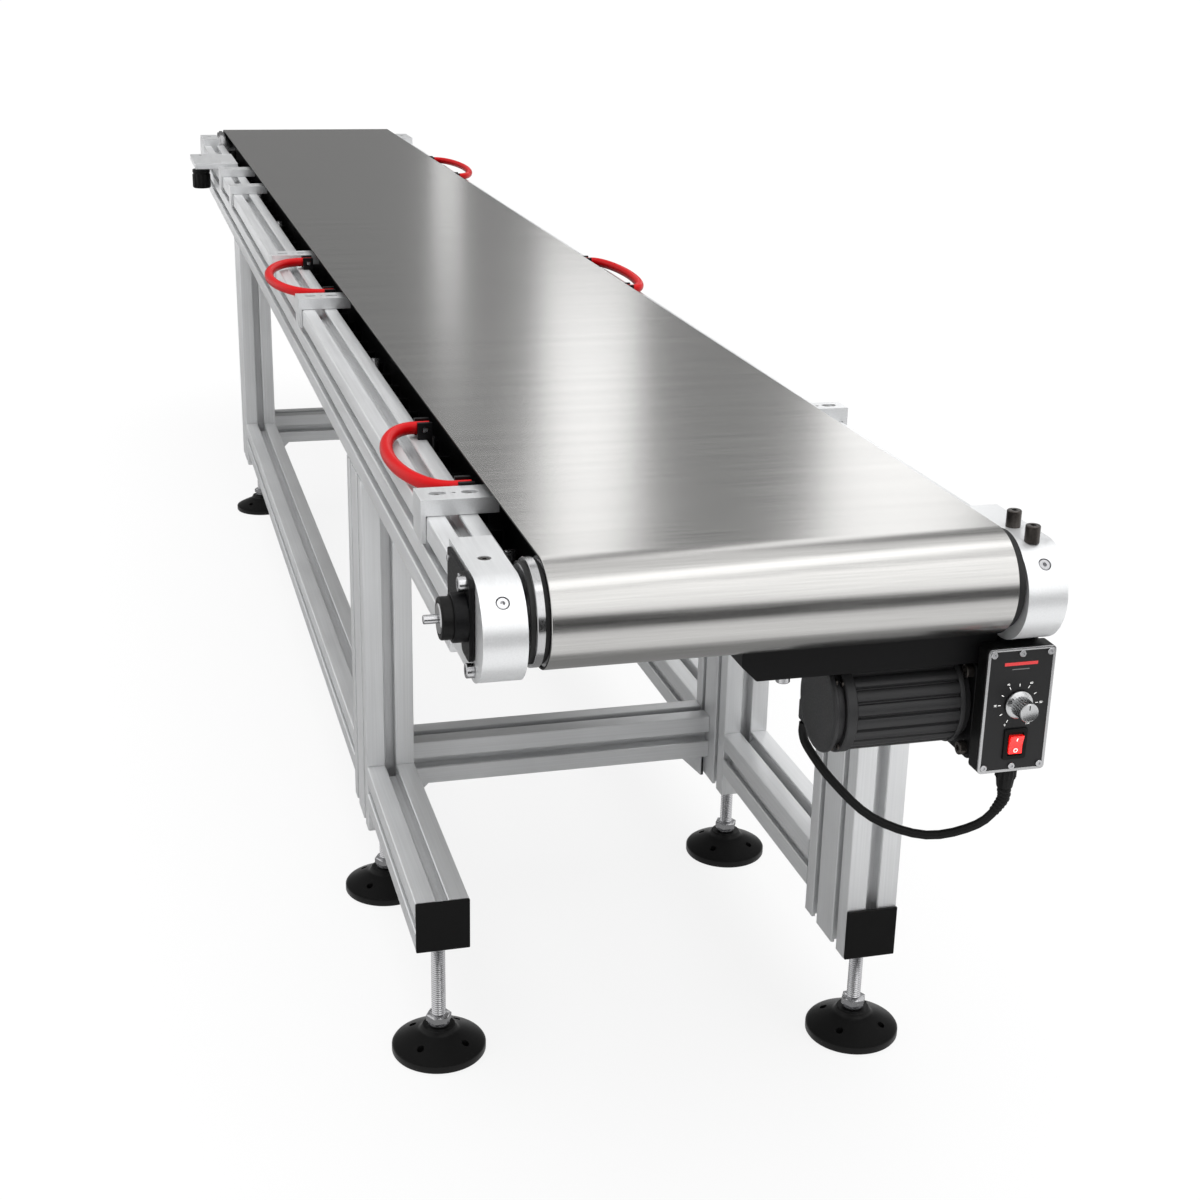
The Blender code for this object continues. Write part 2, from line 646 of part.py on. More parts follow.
# ------------------------------------------------------------------ drive
def motor():
    """Motor shell, rear cover with the lead's entry, rotor and gear head."""
    centre = (MOTOR_Y, MOTOR_Z)
    make("motor_housing", turned(SHELL_PROFILE, "X", centre, 28), "motor_grey")
    rear = make("motor_rear_cover", turned(COVER_PROFILE, "X", centre, 28), "motor_grey")
    entry = box((ENTRY_X[0], ENTRY_Y[0], ENTRY_Z[0]), (ENTRY_X[1], ENTRY_Y[1], ENTRY_Z[1]))
    combine(rear, tool("add_lead_entry", entry), "UNION")
    rotor = turned(ROTOR_PROFILE, "X", centre, 16)
    make("motor_rotor", rotor, "steel", (ROTOR_START, *centre))
    gear_head = make("gear_head", box((MOTOR_X[1] + GAP, HEAD_Y[0], HEAD_Z[0]),
                                      (BLOCK_X[0] - GAP, HEAD_Y[1], HEAD_Z[1])), "black_steel")
    bore = prism(circle(centre, OUTPUT_R + OUTPUT_CLEAR, 20), "X", MOTOR_X[1] - OVER,
                 BLOCK_X[0] + OVER)
    combine(gear_head, tool("cut_gear_head_bore", bore), "DIFFERENCE")


def motor_bar():
    """Black bar under the belt that the motor hangs from, one corner cut off."""
    low, high = BAR_Z
    right = BLOCK_X[0] - GAP
    outline = [(BAR_LEFT, high), (BAR_LEFT, low + BAR_CUT), (BAR_LEFT + BAR_CUT, low),
               (right, low), (right, high)]
    make("motor_bar", prism(outline, "Y", *BAR_Y), "black_steel")


def belt_drive():
    """Guard, motor pulley on the output shaft and flat belt to the roller."""
    centre = (MOTOR_Y, MOTOR_Z)
    guard = make("drive_guard", box((BLOCK_X[0], GUARD_Y[0], GUARD_Z[0]),
                                    (BLOCK_X[1], GUARD_Y[1], GUARD_Z[1])), "black_steel")
    combine(guard, drive_pocket("cut_guard_pocket"), "DIFFERENCE")
    hole = prism(circle(centre, OUTPUT_R + OUTPUT_CLEAR, 20), "X", BLOCK_X[0] - OVER,
                 POCKET_X[0] + OVER)
    combine(guard, tool("cut_guard_hole", hole), "DIFFERENCE")
    pulley = [(OUTPUT_START, 0.0), (OUTPUT_START, OUTPUT_R), (PULLEY_X[0], OUTPUT_R),
              (PULLEY_X[0], MOTOR_PULLEY_R), (PULLEY_X[1], MOTOR_PULLEY_R), (PULLEY_X[1], 0.0)]
    make("motor_pulley", turned(pulley, "X", centre, 20), "steel", (OUTPUT_START, *centre))
    ends = ((0.0, AXIS_Z), centre)
    inner = tangent_loop(ends[0], ROLLER_PULLEY_R + GAP, ends[1], MOTOR_PULLEY_R + GAP, 14)
    thick = GAP + FLAT_BELT_T
    outer = tangent_loop(ends[0], ROLLER_PULLEY_R + thick, ends[1], MOTOR_PULLEY_R + thick, 14)
    band = ring_prism(outer, inner, "X", PULLEY_X[0] + BAND_INSET, PULLEY_X[1] - BAND_INSET)
    make("drive_belt", band, "black_rubber")


# ------------------------------------------------------------------ controls
def control_box():
    """Open-fronted case, face plate, speed knob, rocker and gland."""
    case = make("control_box", box((BOX_X[0], BOX_Y[0], BOX_Z[0]),
                                   (BOX_X[1], BOX_Y[1], BOX_Z[1])), "black_plastic")
    wall = BOX_WALL
    hollow = box((BOX_X[0] + wall, BOX_Y[0] - OVER, BOX_Z[0] + wall),
                 (BOX_X[1] - wall, BOX_Y[1] - wall, BOX_Z[1] - wall))
    combine(case, tool("cut_box_hollow", hollow), "DIFFERENCE")
    face = make("control_face", box((BOX_X[0], FACE_Y[0], BOX_Z[0]),
                                    (BOX_X[1], FACE_Y[1], BOX_Z[1])), "black_plastic")
    front, back = FACE_Y[0] - OVER, FACE_Y[1] + OVER
    holes = prism(circle(DIAL, DIAL_HOLE_R, 16), "Y", front, back)
    half_w, half_h = ROCKER_HOLE
    box((ROCKER[0] - half_w, front, ROCKER[1] - half_h),
        (ROCKER[0] + half_w, back, ROCKER[1] + half_h), holes)
    combine(face, tool("cut_face_holes", holes), "DIFFERENCE")
    knob = turned(KNOB_PROFILE, "Y", DIAL, 20)
    make("speed_knob", knob, "steel", (DIAL[0], FACE_FRONT, DIAL[1]))
    rocker()
    make("cable_gland", turned(GLAND_PROFILE, "Z", GLAND, 14), "black_plastic")


def rocker():
    """Rocker with a shallow V front, resting with its lower half pressed in."""
    pivot = (ROCKER_PIVOT_Y, ROCKER[1])
    tilt = math.radians(ROCKER_TILT)
    side_view = [
        (pivot[0] + y * math.cos(tilt) - z * math.sin(tilt),
         pivot[1] + y * math.sin(tilt) + z * math.cos(tilt)) for y, z in ROCKER_SIDE
    ]
    bm = prism(side_view, "X", ROCKER[0] - ROCKER_HALF_W, ROCKER[0] + ROCKER_HALF_W)
    make("power_rocker", bm, "red_grip", (ROCKER[0], *pivot))


def motor_lead():
    """Round lead from the gland to the motor, through a smooth curve."""
    route = [Vector(point) for point in LEAD_ROUTE]
    padded = [2 * route[0] - route[1]] + route + [2 * route[-1] - route[-2]]
    per_span = 4
    points = []
    for i in range(1, len(padded) - 2):
        p0, p1, p2, p3 = padded[i - 1:i + 3]
        for step in range(per_span):
            t = step / per_span
            points.append(0.5 * (2 * p1 + (p2 - p0) * t
                                 + (2 * p0 - 5 * p1 + 4 * p2 - p3) * t * t
                                 + (3 * p1 - p0 - 3 * p2 + p3) * t * t * t))
    points.append(route[-1])
    curve = bpy.data.curves.new("motor_lead", "CURVE")
    curve.dimensions = "3D"
    curve.bevel_depth = LEAD_R * MM
    curve.bevel_resolution = 2
    curve.use_fill_caps = True
    spline = curve.splines.new("POLY")
    spline.points.add(len(points) - 1)
    for target, point in zip(spline.points, points):
        target.co = (*world(point), 1.0)
    curve.materials.append(material("black_rubber"))
    bpy.context.scene.collection.objects.link(bpy.data.objects.new("motor_lead", curve))


def main():
    for old in list(bpy.data.objects):
        bpy.data.objects.remove(old, do_unlink=True)
    rails()
    end_blocks()
    drive_bearing()
    bed_pan()
    brackets()
    clamp_knob()
    conveyor_belt()
    rollers()
    for name, (side, middle, half, reach) in HANDLES.items():
        handle(name, side, middle, half, reach)
    posts()
    beams()
    caps()
    feet()
    motor()
    motor_bar()
    belt_drive()
    control_box()
    motor_lead()


main()
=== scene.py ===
# %% [markdown]
# # A belt conveyor section
# The machine is a long flat belt on an aluminium profile stand, driven by a small motor
# under its near end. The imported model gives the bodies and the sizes; this lesson puts
# finely made pieces and real finishes on it, one step at a time.

# %% Load the frame
import json
import math

import bmesh
import bpy
from mathutils import Matrix, Vector

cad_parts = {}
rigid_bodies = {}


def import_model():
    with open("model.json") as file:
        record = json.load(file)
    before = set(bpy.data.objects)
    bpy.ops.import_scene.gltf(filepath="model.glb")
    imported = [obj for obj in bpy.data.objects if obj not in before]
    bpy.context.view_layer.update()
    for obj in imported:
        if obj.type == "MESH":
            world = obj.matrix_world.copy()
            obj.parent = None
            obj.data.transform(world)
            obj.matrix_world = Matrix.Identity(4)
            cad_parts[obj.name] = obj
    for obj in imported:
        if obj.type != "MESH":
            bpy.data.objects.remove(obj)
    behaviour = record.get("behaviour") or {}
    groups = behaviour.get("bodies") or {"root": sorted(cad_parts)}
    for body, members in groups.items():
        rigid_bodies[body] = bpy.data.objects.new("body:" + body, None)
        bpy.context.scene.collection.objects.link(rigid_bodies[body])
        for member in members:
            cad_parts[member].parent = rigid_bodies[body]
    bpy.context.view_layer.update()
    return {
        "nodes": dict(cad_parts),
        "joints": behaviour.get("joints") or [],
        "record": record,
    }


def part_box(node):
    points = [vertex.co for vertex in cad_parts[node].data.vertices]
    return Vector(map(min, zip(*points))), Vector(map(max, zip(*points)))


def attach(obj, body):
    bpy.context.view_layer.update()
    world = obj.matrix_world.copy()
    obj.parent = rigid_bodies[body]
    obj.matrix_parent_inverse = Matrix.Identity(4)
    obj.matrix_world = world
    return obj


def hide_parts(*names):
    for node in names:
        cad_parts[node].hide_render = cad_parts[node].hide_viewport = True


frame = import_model()

# %% [markdown]
# Lengths on the machine are easiest to think of in millimetres, measured from one clear
# place. Here that place is on the floor, midway between the rails, under the drive
# roller's axis. It is read from the model's own boxes, so every piece follows the model.

# %% Zero point and millimetres
MM = 0.001
ROLLER_LOW, ROLLER_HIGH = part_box("drive_roller")
ZERO = Vector(((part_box("rail_left")[0].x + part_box("rail_right")[1].x) / 2,
               (ROLLER_LOW.y + ROLLER_HIGH.y) / 2, 0.0))
BODY_OF = {node: body for body, members in frame["record"]["behaviour"]["bodies"].items()
           for node in members}


def at(x, y, z):
    """Machine millimetres to world metres."""
    return ZERO + Vector((x, y, z)) * MM


def box_of(node):
    """Lowest and highest corner of a node, in machine millimetres."""
    return [(corner - ZERO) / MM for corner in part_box(node)]


def middle_of(node, axes="xyz"):
    """The middle of a node's box, in the coordinates that are named."""
    low, high = box_of(node)
    return tuple((getattr(low, axis) + getattr(high, axis)) / 2 for axis in axes)


print("zero point is at", [round(value, 4) for value in ZERO])

# %% [markdown]
# The camera stands at the near left corner, a little above the belt, and looks along it.
# A matrix built from its right, up and backward directions sets the small roll as well.

# %% Camera
CAMERA_PLACE = Vector((-0.404985, -2.39765, 0.89555))
YAW, PITCH_DOWN, ROLL = (math.radians(angle) for angle in (15.55, 19.86, 1.28))
forward = Vector((math.sin(YAW) * math.cos(PITCH_DOWN), math.cos(YAW) * math.cos(PITCH_DOWN),
                  -math.sin(PITCH_DOWN)))
level = Vector((math.cos(YAW), -math.sin(YAW), 0.0))
upright = level.cross(forward)
right = level * math.cos(ROLL) + upright * math.sin(ROLL)
up = upright * math.cos(ROLL) - level * math.sin(ROLL)
lens = bpy.data.cameras.new("camera")
lens.lens = 55.15
lens.sensor_width = 36.0
lens.clip_start, lens.clip_end = 0.05, 100.0
camera = bpy.data.objects.new("camera", lens)
bpy.context.scene.collection.objects.link(camera)
camera.matrix_world = Matrix.Translation(CAMERA_PLACE) @ Matrix(
    (right, up, -forward)).transposed().to_4x4()
bpy.context.scene.camera = camera
print("camera at", [round(value, 3) for value in CAMERA_PLACE])

# %% [markdown]
# Materials and node trees are both built from nodes. One small function adds a node, sets
# what it is told and makes its links, so that each finish below reads like a recipe.
# Colours are written as the eye knows them and turned to linear light in one place.

# %% Node and colour helpers
def add_node(tree, kind, inputs=None, **settings):
    """Adds a node, sets its options, and links or fills the inputs that are named."""
    made = tree.nodes.new(kind)
    for option, value in settings.items():
        setattr(made, option, value)
    for name, value in (inputs or {}).items():
        if isinstance(value, bpy.types.NodeSocket):
            tree.links.new(value, made.inputs[name])
        else:
            made.inputs[name].default_value = value
    return made


def linear(code):
    """A colour code such as #c0c0c0 as linear red, green, blue and opacity."""
    parts = [int(code[i:i + 2], 16) / 255 for i in (1, 3, 5)]
    return tuple(p / 12.92 if p <= 0.04045 else ((p + 0.055) / 1.055) ** 2.4
                 for p in parts) + (1.0,)


def blank_material(name):
    """A material with nothing in its tree, and the tree."""
    material = bpy.data.materials.new(name)
    material.use_nodes = True
    material.node_tree.nodes.clear()
    return material, material.node_tree


def new_finish(name):
    """A material with one shader, its tree and the shader."""
    material, tree = blank_material(name)
    shader = add_node(tree, "ShaderNodeBsdfPrincipled")
    add_node(tree, "ShaderNodeOutputMaterial", {"Surface": shader.outputs[0]})
    return material, tree, shader


print("red reads as", [round(value, 3) for value in linear("#f01018")[:3]])

# %% [markdown]
# Most finishes here differ in four things only: colour, gloss, the size and direction of
# their grain, and how much they vary over a hand's breadth. One recipe holds all four.
# A fine noise gives the grain its tone, gloss and relief, and a broad one gives the slow
# drift in tone that keeps large faces from looking printed.

# %% The shared recipe for a finish
def weathered(tree, shader, fine, broad, colour, vary, drift, gloss_range, relief):
    """Lets a fine and a broad noise, mostly from 0.3 to 0.7, set tone, gloss and relief."""
    tones = [add_node(tree, "ShaderNodeMapRange", {
        "Value": noise.outputs[0], "From Min": 0.3, "From Max": 0.7,
        "To Min": 1 - span, "To Max": 1 + span}) for noise, span in ((fine, vary), (broad, drift))]
    both = add_node(tree, "ShaderNodeMath", {
        0: tones[0].outputs[0], 1: tones[1].outputs[0]}, operation="MULTIPLY")
    tint = add_node(tree, "ShaderNodeVectorMath", {
        0: linear(colour)[:3], "Scale": both.outputs[0]}, operation="SCALE")
    gloss = add_node(tree, "ShaderNodeMapRange", {
        "Value": fine.outputs[0], "From Min": 0.3, "From Max": 0.7,
        "To Min": gloss_range[0], "To Max": gloss_range[1]})
    bump = add_node(tree, "ShaderNodeBump", {
        "Height": fine.outputs[0], "Distance": relief * MM, "Strength": 1.0})
    for source, name in ((tint, "Base Color"), (gloss, "Roughness"), (bump, "Normal")):
        tree.links.new(source.outputs[0], shader.inputs[name])


GLOSS_SPAN = 0.15     # how far a finish's roughness varies, as a share of it


def surface(name, colour, roughness, metallic, grain, relief, vary, drift=0.04, drift_mm=90.0,
            coat=0.0, shine=0.5):
    """grain is the size of the pattern along X, Y and Z, and relief its depth, in mm."""
    material, tree, shader = new_finish(name)
    place = add_node(tree, "ShaderNodeTexCoord").outputs["Object"]
    stretched = add_node(tree, "ShaderNodeMapping",
                         {"Vector": place, "Scale": tuple(1 / (g * MM) for g in grain)})
    fine = add_node(tree, "ShaderNodeTexNoise", {
        "Vector": stretched.outputs[0], "Scale": 1.0, "Detail": 2.0, "Roughness": 0.55})
    broad = add_node(tree, "ShaderNodeTexNoise", {
        "Vector": place, "Scale": 1 / (drift_mm * MM), "Detail": 1.0})
    weathered(tree, shader, fine, broad, colour, vary, drift,
              (roughness * (1 - GLOSS_SPAN), roughness * (1 + GLOSS_SPAN)), relief)
    shader.inputs["Metallic"].default_value = metallic
    shader.inputs["Coat Weight"].default_value = coat
    shader.inputs["Specular IOR Level"].default_value = shine
    return material


# %% [markdown]
# Anodised aluminium profile leaves the press with faint lines along its length, and the
# anodising turns them satin: broad soft highlights, no mirror. The grain is 1.6 mm across,
# coarser than the real lines, which are too fine to show from a step away, and 150 mm
# long. It has to run along each member, so there is one finish for each direction.

# %% Aluminium finishes
LINE_ACROSS, LINE_ALONG = 1.6, 150.0


def lined(name, colour, roughness, vary):
    """One finish for each direction in which a member can run."""
    return {axis: surface(f"{name}_aluminium_along_{axis.lower()}", colour, roughness, 0.7,
                          [LINE_ALONG if axis == other else LINE_ACROSS for other in "XYZ"],
                          relief=0.004, vary=vary) for axis in "XYZ"}


PROFILE_FINISH = lined("anodised", "#d2d3d4", 0.4, 0.05)
# the slots' inner walls take a rougher copy of the profile finish, darkened as painted shade
# because little light reaches them
SLOT_SHADE_FINISH = lined("slot", "#77787a", 0.55, 0.08)
MILLED = surface("milled_aluminium", "#d6d7d8", 0.38, 0.75, (1.4, 40.0, 1.4),
                 relief=0.003, vary=0.04, drift=0.03)
# the speed knob is turned and polished: a tighter gloss, and an even grain
TURNED_ALUMINIUM = surface("turned_aluminium", "#c9cacb", 0.26, 1.0, (0.8, 0.8, 0.8),
                           relief=0.003, vary=0.05)
print("aluminium finishes:", len(PROFILE_FINISH) + len(SLOT_SHADE_FINISH) + 2)

# %% [markdown]
# The rest of the metals. Nuts, studs and screws are zinc plated, so they are brighter
# and tighter in gloss than the profile. The troughs, bars and covers are powder coated
# black, which leaves a fine orange peel. The motor's casting is a matt charcoal enamel
# with a coarser skin.

# %% Steel, coated steel and enamel
ZINC = surface("zinc_plated_steel", "#c6c6c8", 0.24, 1.0, (2.0, 2.0, 2.0),
               relief=0.004, vary=0.06, drift_mm=20.0)
STAINLESS = surface("stainless_steel", "#bfbfc0", 0.2, 1.0, (0.9, 5.0, 0.9),
                    relief=0.003, vary=0.05, drift_mm=40.0)
DARK_SCREW = surface("blackened_screw_steel", "#4b4744", 0.34, 0.9, (1.2, 1.2, 1.2),
                     relief=0.006, vary=0.12, drift_mm=12.0)
BLACK_STEEL = surface("black_powder_coat", "#09090a", 0.42, 0.0, (1.6, 1.6, 1.6),
                      relief=0.02, vary=0.15, drift=0.1, shine=0.15)
MOTOR_ENAMEL = surface("charcoal_enamel", "#202021", 0.46, 0.0, (1.1, 1.1, 1.1),
                       relief=0.03, vary=0.12, drift=0.06, shine=0.35)
print("steel finishes ready")

# %% [markdown]
# Plastics and rubber. The pads and caps are moulded black nylon with a fine spark-eroded
# grain, the handles a glossy red grip skin, and the rocker a clear bright red. The lead
# has a plain rubber sheath.

# %% Plastics and rubber
BLACK_NYLON = surface("moulded_black_nylon", "#0b0b0b", 0.4, 0.0, (0.9, 0.9, 0.9),
                      relief=0.015, vary=0.12, shine=0.16)
PANEL_BLACK = surface("satin_black_panel", "#161617", 0.38, 0.0, (0.7, 0.7, 0.7),
                      relief=0.006, vary=0.08, shine=0.3)
SHEATH = surface("black_rubber_sheath", "#0b0b0b", 0.48, 0.0, (1.5, 1.5, 1.5),
                 relief=0.015, vary=0.12, shine=0.2)
GRIP_RED = surface("red_grip_plastic", "#950307", 0.4, 0.0, (1.5, 1.5, 1.5),
                   relief=0.01, vary=0.04, shine=0.14)
ROCKER_RED = surface("red_rocker_plastic", "#ff1410", 0.2, 0.0, (3.0, 3.0, 3.0),
                     relief=0.004, vary=0.03, coat=0.5)
WHITE_INK = surface("white_panel_ink", "#e4e4e2", 0.55, 0.0, (0.6, 0.6, 0.6),
                    relief=0.004, vary=0.05)
RED_INK = surface("red_panel_ink", "#b01a1c", 0.5, 0.0, (0.6, 0.6, 0.6),
                  relief=0.004, vary=0.06)
GREY_INK = surface("grey_panel_ink", "#555555", 0.5, 0.0, (0.6, 0.6, 0.6),
                   relief=0.004, vary=0.06)
# the belt's black core; the same black makes the bands on the drive roller, which are painted shade
# in its grooves and gaps
BELT_CORE_AND_SHADE_BLACK = surface("black_belt_core_and_painted_shade", "#090909", 0.6, 0.0, (1.0, 1.0, 1.0),
                    relief=0.02, vary=0.15)
print("plastics ready")

# %% [markdown]
# The belt's face is a thin satin metal skin, brushed across its width. Lines run from
# edge to edge, so light spreads along the belt instead of across it: that is what draws
# the long bright streak. The grain reads the belt's own UV map, whose first direction
# runs along the belt, and the shader's tangent follows it. The brushing is drawn 1.3 mm
# wide, which is coarser than real, so that it shows.

# %% Belt finish
RUN_MAP = "belt_run"


def belt_finish():
    """Brushed satin skin on the belt's own map, in metres."""
    material, tree, shader = new_finish("cross_brushed_belt_skin")
    run = add_node(tree, "ShaderNodeUVMap", uv_map=RUN_MAP).outputs[0]
    lines = add_node(tree, "ShaderNodeMapping", {
        "Vector": run, "Scale": (1 / (1.3 * MM), 1 / (95 * MM), 1.0)})
    brush = add_node(tree, "ShaderNodeTexNoise", {
        "Vector": lines.outputs[0], "Scale": 1.0, "Detail": 4.0, "Roughness": 0.65})
    bands = add_node(tree, "ShaderNodeMapping", {
        "Vector": run, "Scale": (1 / (22 * MM), 1 / (600 * MM), 1.0)})
    streak = add_node(tree, "ShaderNodeTexNoise", {
        "Vector": bands.outputs[0], "Scale": 1.0, "Detail": 2.0})
    weathered(tree, shader, brush, streak, "#c3c2c0", 0.07, 0.04, (0.21, 0.27), 0.004)
    tangent = add_node(tree, "ShaderNodeTangent", direction_type="UV_MAP", uv_map=RUN_MAP)
    tree.links.new(tangent.outputs[0], shader.inputs["Tangent"])
    shader.inputs["Metallic"].default_value = 1.0
    shader.inputs["Anisotropic"].default_value = 0.35
    return material


BELT_SKIN = belt_finish()
print("belt finish ready")

# %% [markdown]
# Machined parts are straight extrusions, solids turned on a lathe, or stacks of outlines.
# A few small builders cover them all, in machine millimetres. An outline is a list of
# (u, v) pairs in the plane across an axis, and `spot` puts such a pair into space.

# %% Outline and solid builders
def spot(axis, u, v, along):
    """A point from the two coordinates across an axis and the one along it."""
    return {"X": (along, u, v), "Y": (u, along, v), "Z": (u, v, along)}[axis]


def skinned(rows, closed=False):
    """Faces between rows of points; the ends are capped unless the rows close up."""
    bm = bmesh.new()
    loops = [[bm.verts.new(point) for point in row] for row in rows]
    for near, far in zip(loops, loops[1:] + (loops[:1] if closed else [])):
        for i in range(len(near)):
            j = (i + 1) % len(near)
            bm.faces.new((near[i], near[j], far[j], far[i]))
    if not closed:
        bm.faces.new(loops[0])
        bm.faces.new(loops[-1])
    return bm


def lofted(rings, axis, closed=False):
    """Joins outlines of equal point count; rings holds (outline, place on the axis)."""
    return skinned([[spot(axis, u, v, along) for u, v in outline] for outline, along in rings],
                   closed)


def prism(outline, axis, start, end):
    """A straight extrusion of a closed outline."""
    return lofted([(outline, start), (outline, end)], axis)


def block(low, high):
    """A square-edged block between two corners."""
    corners = [(low[0], low[1]), (high[0], low[1]), (high[0], high[1]), (low[0], high[1])]
    return prism(corners, "Z", low[2], high[2])


def polar(centre, radius, turn):
    """The point at a distance and a turn, in radians, from a centre."""
    return centre[0] + radius * math.cos(turn), centre[1] + radius * math.sin(turn)


def arc(centre, radius, count, start=0.0, sweep=360.0):
    """Points on a circle, or on an arc with both its ends; angles in degrees."""
    steps = count if abs(sweep) == 360.0 else count - 1
    return [polar(centre, radius, math.radians(start + sweep * i / steps)) for i in range(count)]


def turned(profile, axis, centre, count):
    """A solid of revolution: profile holds (place on the axis, radius), ends included."""
    return lofted([(arc(centre, max(radius, 0.02), count), along)
                   for along, radius in profile], axis)


def hexagon(centre, across):
    """Twenty-four evenly turned points on a hexagon of that width across its flats."""
    angles = [2 * math.pi * i / 24 for i in range(24)]
    return [polar(centre, across / 2 / math.cos((angle % (math.pi / 3)) - math.pi / 6), angle)
            for angle in angles]


def rounded(low, high, r):
    """A rectangle with round corners, as an outline."""
    (u0, v0), (u1, v1) = low, high
    return [point for u, v, start in ((u1 - r, v0 + r, -90), (u1 - r, v1 - r, 0),
                                      (u0 + r, v1 - r, 90), (u0 + r, v0 + r, 180))
            for point in arc((u, v), r, 5, start, 90)]


def frame_of(outer, inner, axis, start, end):
    """A band between two outlines of equal point count, such as a rim or a bezel."""
    return lofted([(outer, start), (outer, end), (inner, end), (inner, start)], axis, closed=True)


print("solid builders ready")

# %% [markdown]
# A piece is made in millimetres, moved to its place in the world, and bevelled, because
# real edges are never sharp and a fine bevel is what catches the light. Weighted normals
# keep the flat faces flat in the shading. The modifiers are applied at once, so that each
# finished piece is a plain mesh whose object sits at the origin.

# %% Finishing a piece
SCENE = bpy.context.scene.collection


def baked(source):
    """The mesh that an object shows with its modifiers, and removes the object."""
    bpy.context.view_layer.update()
    graph = bpy.context.evaluated_depsgraph_get()
    mesh = bpy.data.meshes.new_from_object(source.evaluated_get(graph), depsgraph=graph)
    bpy.data.objects.remove(source, do_unlink=True)
    return mesh


def shaded(mesh, degrees):
    """Smooth shading that keeps the edges sharper than an angle."""
    mesh.shade_smooth()
    mesh.set_sharp_from_angle(angle=math.radians(degrees))
    return mesh


def soften(item, width, segments):
    """A bevel, in millimetres, on the edges that turn by more than 34 degrees."""
    edge = item.modifiers.new("edges", "BEVEL")
    edge.width, edge.segments = width * MM, segments
    edge.limit_method, edge.angle_limit = "ANGLE", math.radians(34)


def to_world(bm):
    """Moves a solid from machine millimetres to its place in metres."""
    bm.transform(Matrix.Translation(ZERO) @ Matrix.Scale(MM, 4))
    bmesh.ops.remove_doubles(bm, verts=bm.verts, dist=1e-7)
    bmesh.ops.recalc_face_normals(bm, faces=bm.faces)
    return bm


def solid_mesh(bm, finish, bevel=0.0, segments=2, cutters=()):
    """A mesh from a solid in machine millimetres, cut, bevelled and smooth-shaded."""
    mesh = bpy.data.meshes.new("solid")
    to_world(bm).to_mesh(mesh)
    bm.free()
    mesh.materials.append(finish)
    if not bevel and not cutters:
        return shaded(mesh, 35)
    mesh.shade_smooth()
    solid = bpy.data.objects.new("solid", mesh)
    SCENE.objects.link(solid)
    tools = []
    for cutter in cutters:
        tool_mesh = bpy.data.meshes.new("tool")
        to_world(cutter).to_mesh(tool_mesh)
        cutter.free()
        tool_mesh.materials.append(finish)
        tools.append(bpy.data.objects.new("tool", tool_mesh))
        SCENE.objects.link(tools[-1])
        cut = solid.modifiers.new("cut", "BOOLEAN")
        cut.operation, cut.solver, cut.object = "DIFFERENCE", "EXACT", tools[-1]
    if bevel:
        soften(solid, bevel, segments)
        solid.modifiers.new("flats", "WEIGHTED_NORMAL").weight = 60
    mesh = baked(solid)
    for used in tools:
        bpy.data.objects.remove(used, do_unlink=True)
    return mesh


def place(name, mesh, body, slot, *nodes):
    """Makes the named piece, sets it on its body, and hides the nodes it stands for."""
    piece = bpy.data.objects.new(name, mesh)
    SCENE.objects.link(piece)
    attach(piece, body)
    if nodes:
        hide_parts(*nodes)
    mesh.calc_loop_triangles()
    print(f"{name}: {len(mesh.loop_triangles)} triangles on {body}")
    return piece


# %% [markdown]
# Three node trees do the repeating work. The first pushes an outline into a bar, and
# makes every profile of the frame. The second sets copies of one small part on points,
# each facing the way its point says: screws, bolts, ribs, ticks. The third sweeps a round
# section along a path, for tubes. Each ends in plain geometry with its finish set.

# %% Node trees: bar, copies and tube
def new_tree(name, inputs):
    """An empty geometry tree with named inputs; returns it with its two end nodes."""
    tree = bpy.data.node_groups.new(name, "GeometryNodeTree")
    tree.interface.new_socket("Geometry", in_out="INPUT", socket_type="NodeSocketGeometry")
    for label, kind in inputs:
        tree.interface.new_socket(label, in_out="INPUT", socket_type=f"NodeSocket{kind}")
    tree.interface.new_socket("Geometry", in_out="OUTPUT", socket_type="NodeSocketGeometry")
    return tree, add_node(tree, "NodeGroupInput"), add_node(tree, "NodeGroupOutput")


def close_tree(tree, given, result, geometry):
    """Ends a tree in Realize Instances and Set Material."""
    real = add_node(tree, "GeometryNodeRealizeInstances", {"Geometry": geometry})
    painted = add_node(tree, "GeometryNodeSetMaterial", {
        "Geometry": real.outputs[0], "Material": given.outputs["Finish"]})
    tree.links.new(painted.outputs[0], result.inputs[0])
    return tree


def grow(source, tree, **values):
    """Runs a tree on an object and returns the plain mesh that it makes."""
    run = source.modifiers.new("grow", "NODES")
    run.node_group = tree
    for item in tree.interface.items_tree:
        if item.in_out == "INPUT" and item.name in values:
            run[item.identifier] = values[item.name]
    if source.name not in SCENE.objects:
        SCENE.objects.link(source)
    return baked(source)


BAR_TREE, given, result = new_tree(
    "bar_from_outline", [("Offset", "Vector"), ("Finish", "Material")])
pushed = add_node(BAR_TREE, "GeometryNodeExtrudeMesh", {
    "Mesh": given.outputs["Geometry"], "Offset": given.outputs["Offset"],
    "Offset Scale": 1.0, "Individual": False}, mode="FACES")
start_face = add_node(BAR_TREE, "GeometryNodeFlipFaces", {"Mesh": given.outputs["Geometry"]})
joined = add_node(BAR_TREE, "GeometryNodeJoinGeometry")
BAR_TREE.links.new(pushed.outputs[0], joined.inputs[0])
BAR_TREE.links.new(start_face.outputs[0], joined.inputs[0])
welded = add_node(BAR_TREE, "GeometryNodeMergeByDistance", {
    "Geometry": joined.outputs[0], "Distance": 1e-6})
close_tree(BAR_TREE, given, result, welded.outputs[0])

